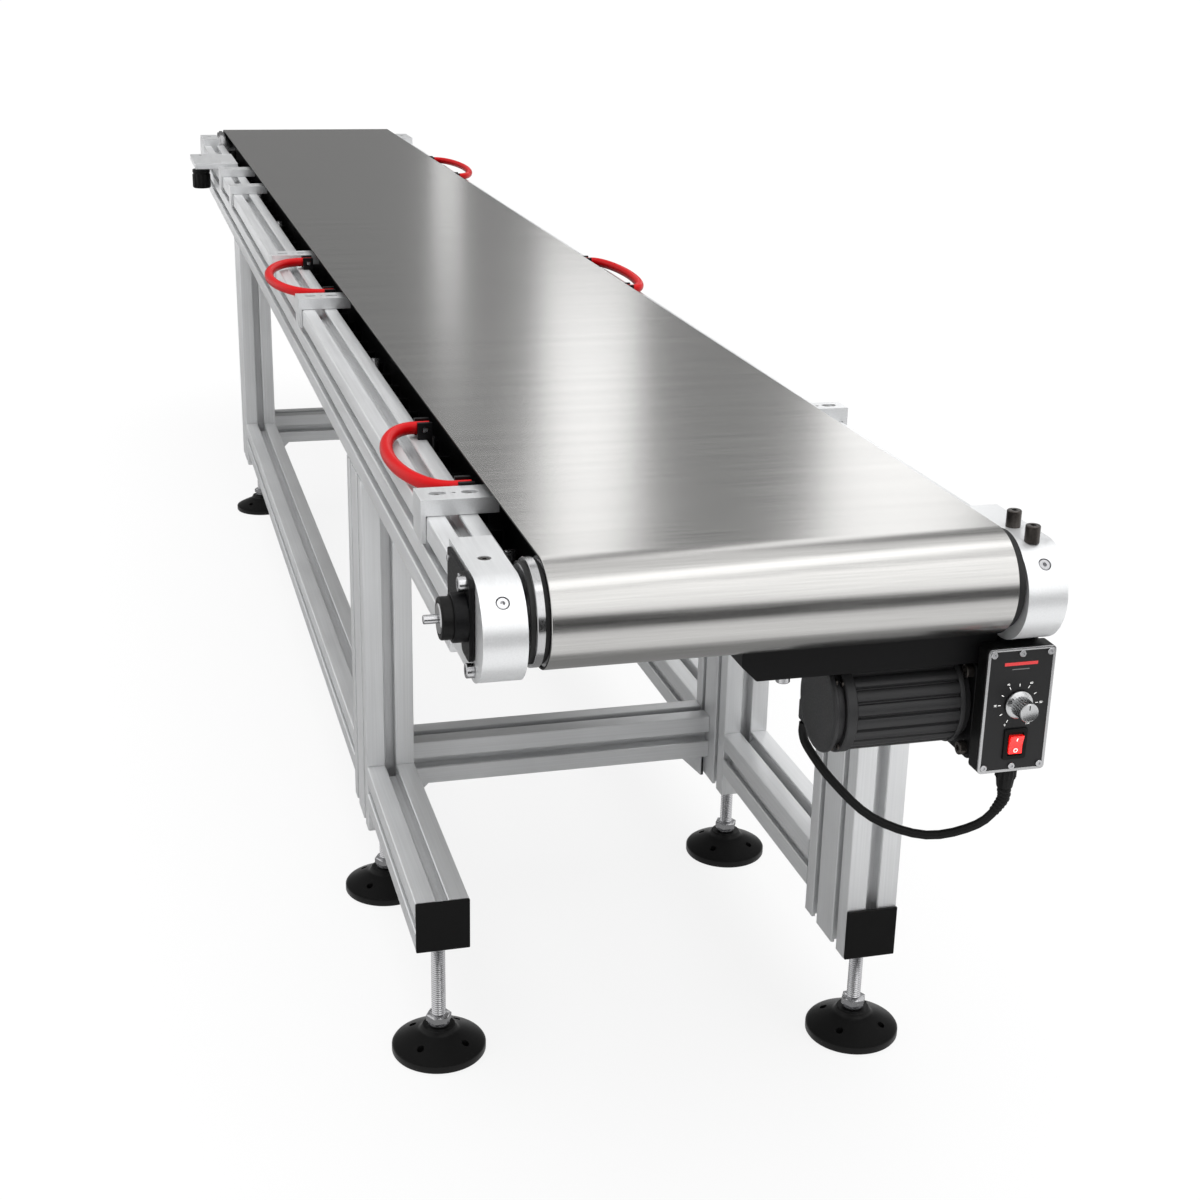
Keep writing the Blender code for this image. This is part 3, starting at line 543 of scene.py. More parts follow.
COPY_TREE, given, result = new_tree(
    "copies_on_points", [("Part", "Object"), ("Finish", "Material")])
part = add_node(COPY_TREE, "GeometryNodeObjectInfo", {"Object": given.outputs["Part"]})
facing, along = [add_node(COPY_TREE, "GeometryNodeInputNamedAttribute", {"Name": name},
                          data_type="FLOAT_VECTOR") for name in ("facing", "along")]
upward = add_node(COPY_TREE, "FunctionNodeAlignRotationToVector", {
    "Vector": facing.outputs[0]}, axis="Z")
squared = add_node(COPY_TREE, "FunctionNodeAlignRotationToVector", {
    "Rotation": upward.outputs[0], "Vector": along.outputs[0]}, axis="X", pivot_axis="Z")
copies = add_node(COPY_TREE, "GeometryNodeInstanceOnPoints", {
    "Points": given.outputs["Geometry"], "Instance": part.outputs["Geometry"],
    "Rotation": squared.outputs[0]})
close_tree(COPY_TREE, given, result, copies.outputs[0])

TUBE_TREE, given, result = new_tree(
    "tube_on_path", [("Radius", "Float"), ("Sides", "Int"), ("Finish", "Material")])
section = add_node(TUBE_TREE, "GeometryNodeCurvePrimitiveCircle", {
    "Resolution": given.outputs["Sides"], "Radius": given.outputs["Radius"]})
swept = add_node(TUBE_TREE, "GeometryNodeCurveToMesh", {
    "Curve": given.outputs["Geometry"], "Profile Curve": section.outputs[0], "Fill Caps": True})
smooth = add_node(TUBE_TREE, "GeometryNodeSetShadeSmooth", {"Geometry": swept.outputs[0]})
close_tree(TUBE_TREE, given, result, smooth.outputs[0])
print("trees:", [tree.name for tree in (BAR_TREE, COPY_TREE, TUBE_TREE)])

# %% [markdown]
# Small parts such as screws are modelled once, standing on a surface at zero with their
# axis along +Z, and the copy tree puts them where they belong. A row is written as
# (point, facing, along), with the point in machine millimetres.

# %% Copies of a small part
def small_part(bm, bevel=0.0):
    """A part of its own, in millimetres round zero, ready to be copied."""
    bmesh.ops.recalc_face_normals(bm, faces=bm.faces)
    bm.transform(Matrix.Scale(MM, 4))
    mesh = bpy.data.meshes.new("small_part")
    bm.to_mesh(mesh)
    bm.free()
    mesh.shade_smooth()
    made = bpy.data.objects.new("small_part", mesh)
    if bevel:
        soften(made, bevel, 2)
    else:
        shaded(mesh, 35)
    SCENE.objects.link(made)
    return made


def copied(part, finish, spots):
    """One mesh with a copy of the part at each (point, facing, along)."""
    mesh = bpy.data.meshes.new("spots")
    mesh.from_pydata([at(*point) for point, _, _ in spots], [], [])
    for name, index in (("facing", 1), ("along", 2)):
        values = mesh.attributes.new(name, "FLOAT_VECTOR", "POINT")
        for i, spot_data in enumerate(spots):
            values.data[i].vector = spot_data[index]
    return grow(bpy.data.objects.new("spots", mesh), COPY_TREE, Part=part, Finish=finish)


def joined_mesh(*meshes):
    """Several meshes as one, each face keeping its own finish."""
    first = [bpy.data.objects.new("join", mesh) for mesh in meshes]
    for item in first:
        SCENE.objects.link(item)
    with bpy.context.temp_override(active_object=first[0], object=first[0],
                                   selected_editable_objects=first, selected_objects=first):
        bpy.ops.object.join()
    whole = first[0].data
    bpy.data.objects.remove(first[0], do_unlink=True)
    return whole


UP, DOWN = (0, 0, 1), (0, 0, -1)
LEFT, RIGHT = (-1, 0, 0), (1, 0, 0)
NEAR = (0, -1, 0)
print("copy helpers ready")

# %% [markdown]
# The screws and bolts of the machine, one prototype each. A socket screw has a real
# six-sided hole in its head, sunk deep enough to read as dark.

# %% Screws and bolts
def circle(radius):
    """A round outline with as many points as a hexagon has here."""
    return arc((0, 0), radius, 24)


def socket_head(radius, height, socket, base=0.0, sink=0.55):
    """A round head with a hexagon socket; base is where its underside lies."""
    top = base + height
    return lofted([
        (circle(radius), base), (circle(radius), top - 0.12 * radius), (circle(radius * 0.9), top),
        (hexagon((0, 0), socket), top), (hexagon((0, 0), socket * 0.92), top - sink * height),
        (circle(0.05), top - sink * height)], "Z")


def hex_head(across, height, washer, washer_height):
    """A hexagon head with a chamfered top, on a washer."""
    return lofted([
        (circle(washer), 0.0), (circle(washer), washer_height),
        (hexagon((0, 0), across), washer_height),
        (hexagon((0, 0), across), washer_height + height * 0.86),
        (circle(across * 0.47), washer_height + height),
        (circle(0.05), washer_height + height)], "Z")


SUNK_SCREW = small_part(socket_head(4.0, 3.0, 3.0, base=-3.4, sink=0.7))
SMALL_SCREW = small_part(socket_head(2.5, 1.3, 2.0, sink=0.7))
CAP_SCREW = small_part(socket_head(5.2, 12.0, 4.0, sink=0.35))
M6_BOLT = small_part(hex_head(10.0, 4.2, 6.4, 1.2))
SOCKET_BOLT = small_part(socket_head(5.0, 5.2, 4.2, sink=0.5))
print("fasteners ready")

# %% [markdown]
# The motor's lead is a free cord, so it comes first. It leaves the gland under the control
# box, sags in one round curve and goes up into the motor's rear cover. Its centre line is
# a smooth curve through nine points, the same as the model's.

# %% Motor lead
LEAD_DIAMETER = 0.0066
LEAD_ROUTE = [
    (182.5, -9.5, 333.7), (181.5, -9.0, 322.0), (168.0, -2.0, 302.0), (137.0, 14.0, 289.0),
    (103.0, 34.0, 297.0), (78.0, 53.0, 320.0), (63.5, 66.0, 341.0), (59.4, 69.5, 352.0),
    (59.3, 69.5, 361.5),
]


def smooth_line(route, per_span):
    """Points on a smooth curve through the route's points."""
    known = [Vector(point) for point in route]
    known = [2 * known[0] - known[1]] + known + [2 * known[-1] - known[-2]]
    points = []
    for i in range(1, len(known) - 2):
        a, b, c, d = known[i - 1:i + 3]
        for step in range(per_span):
            t = step / per_span
            points.append(0.5 * (2 * b + (c - a) * t + (2 * a - 5 * b + 4 * c - d) * t * t
                                 + (3 * b - a - 3 * c + d) * t ** 3))
    return points + [known[-2]]


def path_curve(name, points, radius=0.0):
    """A curve of one open spline through world points, round if a radius is given."""
    curve = bpy.data.curves.new(name, "CURVE")
    curve.dimensions = "3D"
    curve.bevel_depth = radius
    curve.bevel_resolution = 6
    curve.use_fill_caps = True
    spline = curve.splines.new("POLY")
    spline.points.add(len(points) - 1)
    for target, point in zip(spline.points, points):
        target.co = (*point, 1.0)
    return bpy.data.objects.new(name, curve)


lead_line = [at(*point) for point in smooth_line(LEAD_ROUTE, 4)]
lead = path_curve("motor_lead_cord", lead_line, LEAD_DIAMETER / 2)
lead.data.materials.append(SHEATH)
SCENE.objects.link(lead)
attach(lead, BODY_OF["motor_lead"])
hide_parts("motor_lead")

# %% [markdown]
# The floor is a plain pale surface that still shows the object's shadow. To the camera
# and in reflections it is mostly its own white, with a share of true diffuse light, so
# that the shadow stays faint, and it meets the white background with no horizon.

# %% Floor and background
def seen_rays(tree):
    """One for rays from the camera, from a reflection or through glass; otherwise zero."""
    rays = add_node(tree, "ShaderNodeLightPath")
    two = add_node(tree, "ShaderNodeMath", {
        0: rays.outputs["Is Camera Ray"], 1: rays.outputs["Is Glossy Ray"]}, operation="ADD")
    return add_node(tree, "ShaderNodeMath", {
        0: two.outputs[0], 1: rays.outputs["Is Transmission Ray"]},
        operation="ADD", use_clamp=True).outputs[0]


def sheet(name, corners, material):
    """A single staged face that is no part of the object."""
    mesh = bpy.data.meshes.new(name)
    mesh.from_pydata(corners, [], [(0, 1, 2, 3)])
    mesh.materials.append(material)
    made = bpy.data.objects.new(name, mesh)
    SCENE.objects.link(made)
    return made


FLOOR_HALF, FLOOR_DEPTH = 40.0, -0.0005
FLOOR_WHITE_SHARE, FLOOR_GLOW = 0.93, 0.93
floor_material, tree = blank_material("pale_studio_floor")
paper = add_node(tree, "ShaderNodeBsdfDiffuse", {"Color": linear("#f0f0f0")})
glow = add_node(tree, "ShaderNodeEmission", {"Color": (1, 1, 1, 1), "Strength": FLOOR_GLOW})
share = add_node(tree, "ShaderNodeMath", {0: seen_rays(tree), 1: FLOOR_WHITE_SHARE},
                 operation="MULTIPLY")
mixed = add_node(tree, "ShaderNodeMixShader", {
    "Fac": share.outputs[0], 1: paper.outputs[0], 2: glow.outputs[0]})
add_node(tree, "ShaderNodeOutputMaterial", {"Surface": mixed.outputs[0]})
sheet("floor", [(x * FLOOR_HALF, y * FLOOR_HALF, FLOOR_DEPTH)
                for x, y in ((-1, -1), (1, -1), (1, 1), (-1, 1))], floor_material)

WORLD_LIGHT = 0.8
world = bpy.data.worlds.new("studio")
world.use_nodes = True
bpy.context.scene.world = world
tree = world.node_tree
tree.nodes.clear()
level_of = add_node(tree, "ShaderNodeMapRange", {
    "Value": seen_rays(tree), "To Min": WORLD_LIGHT, "To Max": 1.0})
sky = add_node(tree, "ShaderNodeBackground", {
    "Color": (1, 1, 1, 1), "Strength": level_of.outputs[0]})
add_node(tree, "ShaderNodeOutputWorld", {"Surface": sky.outputs[0]})
bpy.context.scene.view_settings.view_transform = "Standard"
print("floor and background ready")

# %% [markdown]
# Soft lamps and five cards. The belt's nose mirrors what stands in front: a broad softbox,
# a narrow one over it with a thin gap between, a white card below it and a dark card low
# down, so the nose shows a white upper half and a dark band. The belt's top mirrors what
# stands behind: a grey card with three upright strip lamps, which lie on lines from the eye
# across the belt and draw its long bright streaks. A card over the floor darkens what the
# profiles' sides mirror, and one far in front does so for the view from the tail. The cards
# are seen only in reflections: metal needs something dark to reflect, or it looks like grey
# paint. The tops are lit by a very soft sun, like a white ceiling.

# %% Lamps and cards
def lamp(name, place_at, aim, size, power):
    """A rectangular soft lamp in metres and watts, aimed at a point."""
    light = bpy.data.lights.new(name, "AREA")
    light.shape = "RECTANGLE"
    light.size, light.size_y = size
    light.energy = power
    made = bpy.data.objects.new(name, light)
    made.location = place_at
    made.rotation_mode = "QUATERNION"
    made.rotation_quaternion = (Vector(aim) - Vector(place_at)).to_track_quat("-Z", "Y")
    SCENE.objects.link(made)
    return made


NOSE = (0.0, -1.36, 0.5)
EYE = camera.location
STRIP_REACH = 5.2
lamp("front_softbox", (0.7, -3.17, 2.07), NOSE, (2.4, 1.4), 12.5)
lamp("overhead_softbox", (0.6, -1.9, 2.65), NOSE, (2.4, 0.42), 4.4)
ceiling_light = bpy.data.lights.new("ceiling", "SUN")
ceiling_light.energy, ceiling_light.angle = 5.4, math.radians(75)
ceiling = bpy.data.objects.new("ceiling", ceiling_light)
ceiling.visible_glossy = False
SCENE.objects.link(ceiling)
low_fill = lamp("low_fill", (1.4, -3.4, 0.9), (0.1, -1.2, 0.3), (1.6, 0.8), 8.0)
low_fill.visible_glossy = False
for word, turn_deg, wide, low_z, high_z, brightness in (
        ("left", 10.6, 0.08, 0.7, 1.35, 0.9), ("middle", 15.1, 0.28, 1.1, 6.6, 1.6),
        ("right", 25.3, 0.5, 0.7, 6.6, 1.4)):
    turn = math.radians(turn_deg)
    x, y = EYE.x + STRIP_REACH * math.sin(turn), EYE.y + STRIP_REACH * math.cos(turn)
    height, z = high_z - low_z, (low_z + high_z) / 2
    lamp(f"{word}_strip", (x, y, z), (EYE.x, EYE.y, z), (wide, height),
         brightness * math.pi * wide * height)


def card(name, corners, tone):
    """A flat card seen in reflections alone; tone is how bright it looks."""
    material, tree = blank_material(name)
    felt = add_node(tree, "ShaderNodeEmission", {"Color": (1, 1, 1, 1), "Strength": tone})
    add_node(tree, "ShaderNodeOutputMaterial", {"Surface": felt.outputs[0]})
    made = sheet(name, corners, material)
    made.visible_camera = made.visible_diffuse = made.visible_shadow = False
    made.visible_transmission = False


card("dark_card", [(-1.0, -2.35, 0.02), (1.6, -2.35, 0.02), (1.6, -2.35, 0.4),
                   (-1.0, -2.35, 0.8)], 0.03)
card("grey_card", [(-1.6, 3.2, 0.3), (4.5, 3.2, 0.3), (4.5, 3.2, 8.0), (-1.6, 3.2, 8.0)], 0.25)
card("floor_card", [(-2.8, -1.46, 0.02), (0.6, -1.46, 0.02), (0.6, 3.2, 0.02),
                    (-2.8, 3.2, 0.02)], 0.3)
card("front_card", [(-6.0, -5.6, 0.1), (6.0, -5.6, 0.1), (6.0, -5.6, 7.0), (-6.0, -5.6, 7.0)],
     0.4)
card("white_card", [(-0.9, -3.3, 0.52), (2.3, -3.3, 0.52), (2.3, -3.3, 1.5), (-0.9, -3.3, 1.5)],
     1.5)

# %% [markdown]
# The frame is built from slotted aluminium profile. A real one has small round corners
# and chamfered slot lips; both are in the outline, because a bar is the same all along.
# The outline is a flat face, and the bar tree pushes it to the length of the node's box.

# %% Profile bars
LIP, CHEEK, DEPTH, MOUTH = 3.0, 9.0, 12.0, 5.0   # a slot, with half widths
SLOPE, FLOOR_INSET = 4.5, 0.5                    # of the slot's slanted inner walls
CHAMFER, CORNER = 0.8, 1.6
NOTCH = [(-MOUTH - CHAMFER, 0), (-MOUTH, CHAMFER), (-MOUTH, LIP), (-CHEEK, LIP),
         (-CHEEK, DEPTH - SLOPE), (-MOUTH + FLOOR_INSET, DEPTH), (MOUTH - FLOOR_INSET, DEPTH),
         (CHEEK, DEPTH - SLOPE), (CHEEK, LIP), (MOUTH, LIP), (MOUTH, CHAMFER),
         (MOUTH + CHAMFER, 0)]
SIDE_TURNS = {"bottom": 0, "right": 1, "top": 2, "left": 3}


def slotted(width, height, slots):
    """Outline round zero of a profile; slots gives the slot middles on each side."""
    outline = []
    for side, turns in SIDE_TURNS.items():
        run, across = (width, height) if turns % 2 == 0 else (height, width)
        inset = (-run / 2 + CORNER, -across / 2 + CORNER)
        points = arc(inset, CORNER, 4, 180, 90)
        for middle in sorted(slots.get(side, [])):
            points += [(middle + a, -across / 2 + b) for a, b in NOTCH]
        for u, v in points:
            for _ in range(turns):
                u, v = -v, u
            outline.append((u, v))
    return outline


def pushed_bar(outline, axis, start, end, finish, degrees):
    """A closed outline pushed along an axis by the bar tree, all in machine millimetres."""
    mesh = bpy.data.meshes.new("outline")
    mesh.from_pydata([at(*spot(axis, u, v, start)) for u, v in outline], [],
                     [list(range(len(outline)))])
    offset = [0.0, 0.0, 0.0]
    offset["XYZ".index(axis)] = (end - start) * MM
    made = grow(bpy.data.objects.new("outline", mesh), BAR_TREE, Offset=offset, Finish=finish)
    bm = bmesh.new()
    bm.from_mesh(made)
    bmesh.ops.recalc_face_normals(bm, faces=bm.faces)
    bm.to_mesh(made)
    bm.free()
    return shaded(made, degrees)


def bar(name, node, axis, slots):
    """A profile bar that fills the node's box."""
    low, high = box_of(node)
    index = "XYZ".index(axis)
    u, v = [i for i in range(3) if i != index]
    middle = ((low[u] + high[u]) / 2, (low[v] + high[v]) / 2)
    outline = [(a + middle[0], b + middle[1])
               for a, b in slotted(high[u] - low[u], high[v] - low[v], slots)]
    made = pushed_bar(outline, axis, low[index], high[index], PROFILE_FINISH[axis], 28)
    # faces deeper than the slot lips take the darker slot finish, which is painted shade
    made.materials.append(SLOT_SHADE_FINISH[axis])
    sides = [(low[i] * MM + ZERO[i], high[i] * MM + ZERO[i]) for i in (u, v)]
    for face in made.polygons:
        centre = (face.center[u], face.center[v])
        depth = min(min(c - a, b - c) for c, (a, b) in zip(centre, sides))
        if depth > (LIP - 0.2) * MM and abs(face.normal[index]) < 0.5:
            face.material_index = 1
    return place(name, made, BODY_OF[node], "aluminium", node)


ONE = [0.0]
TWO = [-22.5, 22.5]
RAIL_SLOTS = [-13.0, 13.0]
SQUARE = {"left": ONE, "right": ONE, "top": ONE, "bottom": ONE}
DOUBLE = {"left": TWO, "right": TWO, "top": ONE, "bottom": ONE}
bar("rail_left_bar", "rail_left", "Y", {"top": ONE, "bottom": ONE, "left": RAIL_SLOTS})
bar("rail_right_bar", "rail_right", "Y", {"top": ONE, "bottom": ONE, "right": RAIL_SLOTS})
for word in ("near_left", "near_right", "far_left", "far_right", "front_right"):
    bar(f"post_{word}_bar", f"post_{word}", "Z", DOUBLE)
for word in ("long_beam_left", "long_beam_right", "foot_beam_left", "foot_beam_right"):
    bar(f"{word}_bar", word, "Y", SQUARE)
for word in ("crossbeam_near", "crossbeam_far"):
    bar(f"{word}_bar", word, "X", SQUARE)

# %% [markdown]
# The end blocks are milled from solid: square at the back, round at the nose, with
# screws sunk in the top and the nose. The sunk holes are real cuts, a cone over a bore,
# and a socket screw sits in each.

# %% End blocks
NOSE_SCREW_TURN = 136.0       # degrees round the nose, from the back over the top
TOP_SCREW_BACK = 30.6         # from the nose's axis to the screw sunk in the top


def sink_tool(point, facing):
    """A cutter for a sunk screw's seat, its mouth at the point, opening towards facing."""
    bm = lofted([(circle(r), z) for r, z in ((2.4, -5.0), (4.15, -3.4), (4.6, 0.0), (4.6, 2.0))],
                "Z")
    bm.transform(Matrix.Translation(Vector(point))
                 @ Vector(facing).to_track_quat("Z", "Y").to_matrix().to_4x4())
    return bm


def end_block(node, toward):
    """toward is -1 where the nose points to the near end and 1 at the tail."""
    low, high = box_of(node)
    radius = (high.z - low.z) / 2
    nose_y = low.y + radius if toward < 0 else high.y - radius
    back = high.y if toward < 0 else low.y
    nose = arc((nose_y, (low.z + high.z) / 2), radius, 45, 90, 180 if toward < 0 else -180)
    outline = [(back, low.z), (back, high.z)] + nose
    middle = (low.x + high.x) / 2
    turn = math.radians(NOSE_SCREW_TURN)
    out = (math.cos(turn), math.sin(turn))
    nose_at = (middle, nose_y - toward * radius * out[0], (low.z + high.z) / 2 + radius * out[1])
    spots = [(nose_at, (0, -toward * out[0], out[1]), RIGHT)]
    if (node, toward) != ("end_block_drive_right", -1):
        spots.append(((middle, nose_y - toward * TOP_SCREW_BACK, high.z), UP, RIGHT))
    mesh = solid_mesh(prism(outline, "X", low.x, high.x), MILLED, bevel=0.9, segments=3,
                      cutters=[sink_tool(point, facing) for point, facing, _ in spots])
    screws = [copied(SUNK_SCREW, metal, [spot])
              for metal, spot in zip((ZINC, DARK_SCREW), spots)]
    place(f"{node}_body", joined_mesh(mesh, *screws), BODY_OF[node], "aluminium", node)


for node, toward in (("end_block_drive_left", -1), ("end_block_drive_right", -1),
                     ("end_block_tail_left", 1), ("end_block_tail_right", 1)):
    end_block(node, toward)
right_top = box_of("end_block_drive_right")[1].z
place("drive_block_cap_screws", copied(CAP_SCREW, DARK_SCREW, [
    ((186.5, 23.5, right_top), UP, RIGHT), ((184.2, -8.5, right_top - 0.9), UP, RIGHT)]),
    "frame", "steel")

# %% [markdown]
# The belt is one endless band round both rollers: two half circles joined by straight
# runs. Its long map is laid as the band is made, in metres along the belt and across it,
# so the brushing bends round the nose with the belt. The cut edges show the black core.

# %% Conveyor belt
belt_low, belt_high = box_of("conveyor_belt")
near_axis, far_axis = [middle_of(node)[1] for node in ("drive_roller", "tail_roller")]
BELT_OUT = (belt_high.z - belt_low.z) / 2
AXIS_Z = (belt_high.z + belt_low.z) / 2
BELT_THICK, BELT_EDGE = 1.8, 0.35
ROUND_STEPS, RUN_STEPS = 72, 40
COLUMNS = [belt_low.x, belt_low.x + BELT_EDGE] + [
    belt_low.x + (belt_high.x - belt_low.x) * i / 8 for i in range(1, 8)] + [
    belt_high.x - BELT_EDGE, belt_high.x]


def stadium(radius):
    """Points on a belt's outline, starting on top at the tail, going to the near end."""
    points = []
    for start, end, side in ((far_axis, near_axis, 1), (near_axis, far_axis, -1)):
        points += [(start + (end - start) * i / RUN_STEPS, AXIS_Z + side * radius)
                   for i in range(RUN_STEPS)]
        points += arc((end, AXIS_Z), radius, ROUND_STEPS + 1, side * 90, 180)[:-1]
    return points


def belt_mesh():
    """The closed band with its map, face skin first and core second."""
    bm = bmesh.new()
    run = bm.loops.layers.uv.new(RUN_MAP)
    outer, rim, inner = [stadium(BELT_OUT - depth) for depth in (0.0, BELT_EDGE, BELT_THICK)]
    way = [0.0]
    for a, b in zip(outer, outer[1:] + outer[:1]):
        way.append(way[-1] + math.dist(a, b) * MM)
    lines = []
    for (y, z), (ry, rz), (iy, iz) in zip(outer, rim, inner):
        skin = [bm.verts.new((x, ry, rz) if x in (COLUMNS[0], COLUMNS[-1]) else (x, y, z))
                for x in COLUMNS]
        lines.append(skin + [bm.verts.new((COLUMNS[-1], iy, iz)),
                             bm.verts.new((COLUMNS[0], iy, iz))])
    top = len(COLUMNS)
    for i, line in enumerate(lines):
        after = lines[(i + 1) % len(lines)]
        for k in range(top + 2):
            m = (k + 1) % (top + 2)
            face = bm.faces.new((line[k], after[k], after[m], line[m]))
            face.material_index = 0 if k < top - 1 else 1
            for loop, (s, vert) in zip(face.loops, (
                    (i, line[k]), (i + 1, after[k]), (i + 1, after[m]), (i, line[m]))):
                loop[run].uv = (way[s], vert.co.x * MM)
    mesh = bpy.data.meshes.new("belt")
    to_world(bm).to_mesh(mesh)
    bm.free()
    for finish in (BELT_SKIN, BELT_CORE_AND_SHADE_BLACK):
        mesh.materials.append(finish)
    return shaded(mesh, 30)


place("conveyor_belt_band", belt_mesh(), BODY_OF["conveyor_belt"], "belt_grey", "conveyor_belt")

# %% [markdown]
# Both rollers are bright turned tubes a little wider than the belt. At the drive end a
# band of the roller shows on each side of the belt, with a groove beside it; the black bands
# in the grooves and gaps there are painted shade. The pulley inside the right block is
# part of the drive roller.

# %% Rollers
ROLLER_R = (ROLLER_HIGH.z - ROLLER_LOW.z) / 2 / MM
LOW_X, HIGH_X = -168.5, 169.5     # the ends of the tube
LEFT_EDGE, RIGHT_EDGE = belt_low.x, belt_high.x


def roller_mesh(axis_y, left_end, right_end, pulley):
    """The roller's tube with its shaft, grooved beside the belt."""
    profile = [(left_end, 9.3), (left_end + 0.8, 10.0), (LOW_X, 10.0), (LOW_X, ROLLER_R - 5.0),
               (LOW_X + 0.2, ROLLER_R - 2.6), (LOW_X + 3.4, ROLLER_R - 2.6),
               (LOW_X + 3.4, ROLLER_R - 0.4), (LOW_X + 3.8, ROLLER_R),
               (LEFT_EDGE - 3.4, ROLLER_R), (LEFT_EDGE - 3.0, ROLLER_R - 0.4),
               (LEFT_EDGE - 3.0, ROLLER_R - 2.2), (LEFT_EDGE + 1.0, ROLLER_R - 2.2),
               (LEFT_EDGE + 1.0, ROLLER_R), (RIGHT_EDGE - 1.0, ROLLER_R),
               (RIGHT_EDGE - 1.0, ROLLER_R - 3.0), (HIGH_X, ROLLER_R - 3.0), (HIGH_X, 10.0)]
    if pulley:
        profile += [(177.0, 10.0), (177.0, 14.0), (193.0, 14.0), (193.0, 8.0)]
    profile += [(right_end - 0.8, 8.0 if pulley else 10.0), (right_end, 7.3)]
    return solid_mesh(turned(profile, "X", (axis_y, AXIS_Z), 96), STAINLESS)


# painted shade: black bands outside the tube's left end, in the left groove, and at the right edge
bands = [solid_mesh(turned([(start, core), (start, ROLLER_R - under), (end, ROLLER_R - under),
                            (end, core)], "X", (near_axis, AXIS_Z), 72), BELT_CORE_AND_SHADE_BLACK)
         for start, end, core, under in ((LOW_X + 0.1, LOW_X + 3.3, 12.0, 2.4),
                                         (LEFT_EDGE - 2.9, LEFT_EDGE - 0.1, 20.0, 2.0),
                                         (RIGHT_EDGE - 0.9, HIGH_X - 0.1, 20.0, 1.6))]
stub = solid_mesh(turned([(-231.0, 2.6), (-230.6, 3.0), (-221.8, 3.0)], "X",
                         (near_axis, AXIS_Z), 32), ZINC)
place("drive_roller_turned", joined_mesh(roller_mesh(near_axis, -221.6, 196.5, True), *bands, stub),
      "drive_roller", "steel", "drive_roller")
place("tail_roller_turned", roller_mesh(far_axis, -196.5, 196.5, False), "tail_roller",
      "steel", "tail_roller")

# %% [markdown]
# The drive roller's left bearing is a black flange on the block's outer face: a plate
# with round ends, a stepped boss round the shaft, a backing plate towards the rail, and
# two bright bolts.

# %% Drive bearing
plate_low, plate_high = box_of("drive_bearing_left")
flange_x = plate_high.x
flange = rounded((-13.5, plate_low.z), (13.5, plate_high.z), 6.0)
shaft_hole = turned([(-226.0, 10.5), (-195.0, 10.5)], "X", (near_axis, AXIS_Z), 40)
bearing_parts = [
    solid_mesh(prism(flange, "X", flange_x - 3.7, flange_x), BLACK_STEEL, bevel=0.7,
               cutters=[shaft_hole]),
    *[solid_mesh(frame_of(arc((near_axis, AXIS_Z), outer, 56), arc((near_axis, AXIS_Z), inner, 56),
                          "X", start, flange_x - 3.6), finish, bevel=bevel, segments=segments)
      for outer, inner, start, finish, bevel, segments in (
          (14.0, 10.4, -221.0, BLACK_NYLON, 1.2, 3), (16.2, 13.8, -213.5, BLACK_STEEL, 0.8, 2))],
    solid_mesh(prism(rounded((13.9, 480.0), (66.0, 514.5), 2.0), "X", flange_x - 2.6, flange_x),
               BLACK_STEEL, bevel=0.5),
    copied(SMALL_SCREW, ZINC, [((flange_x - 2.6, y, 508.0), LEFT, UP) for y in (22.0, 60.0)]),
    copied(SOCKET_BOLT, ZINC, [((flange_x - 3.7, -1.5, 511.3), LEFT, UP),
                               ((flange_x - 0.1, -8.0, 455.0), LEFT, UP)]),
]
place("drive_bearing_flange", joined_mesh(*bearing_parts), "frame", "black_steel",
      "drive_bearing_left")

# %% [markdown]
# The bed under the belt is folded from black sheet, and it is right as it stands, so its
# node stays and gets the powder-coat finish. The troughs beside it are crossed by low
# stiffening ribs, with a small clip here and there, made by the copy tree.

# %% Bed and trough ribs
for node, finish in (("bed_pan", BLACK_STEEL), ("motor_rotor", STAINLESS),
                     ("motor_pulley", ZINC), ("drive_belt", SHEATH)):
    slots = frame["nodes"][node].data.materials
    slots.clear()
    slots.append(finish)
TROUGH_FLOOR, TROUGH_X = 473.0, (-150.0, 158.4)
RIB = small_part(prism([(-1.6, 0.0), (-1.6, 9.0), (-0.8, 10.0), (0.8, 10.0), (1.6, 9.0),
                        (1.6, 0.0)], "X", -11.0, 11.0), bevel=0.3)
CLIP = small_part(prism([(-4.0, 0.0), (-4.0, 20.0), (-1.0, 20.0), (-1.0, 3.0), (5.0, 3.0),
                         (5.0, 0.0)], "X", -4.0, 4.0), bevel=0.5)


def trough_rows(first, last, step, along):
    """Places down the middle of both troughs."""
    return [((x, y, TROUGH_FLOOR), UP, along) for x in TROUGH_X for y in range(first, last, step)]


rib_rows = trough_rows(84, 2580, 52, RIGHT)
clip_rows = trough_rows(110, 2560, 312, LEFT)
place("trough_ribs", copied(RIB, BLACK_NYLON, rib_rows), "frame", "black_plastic")
place("trough_clips", copied(CLIP, ZINC, clip_rows), "frame", "steel")

# %% [markdown]
# Clamp brackets sit across the rails. Each is an aluminium bar with a lip down the rail's
# outer face; two long sunk slots and a small hole are cut in its top, with a screw in each
# slot. The holes are Boolean cuts, so the bevel breaks their edges as well.

# %% Clamp brackets
LIP_THICK, SLOT_SUNK = 3.7, 2.6


def slot_outline(x, y, length, width):
    """A slot with round ends, long in X."""
    half = length / 2 - width / 2
    return arc((x + half, y), width / 2, 9, -90, 180) + arc((x - half, y), width / 2, 9, 90, 180)


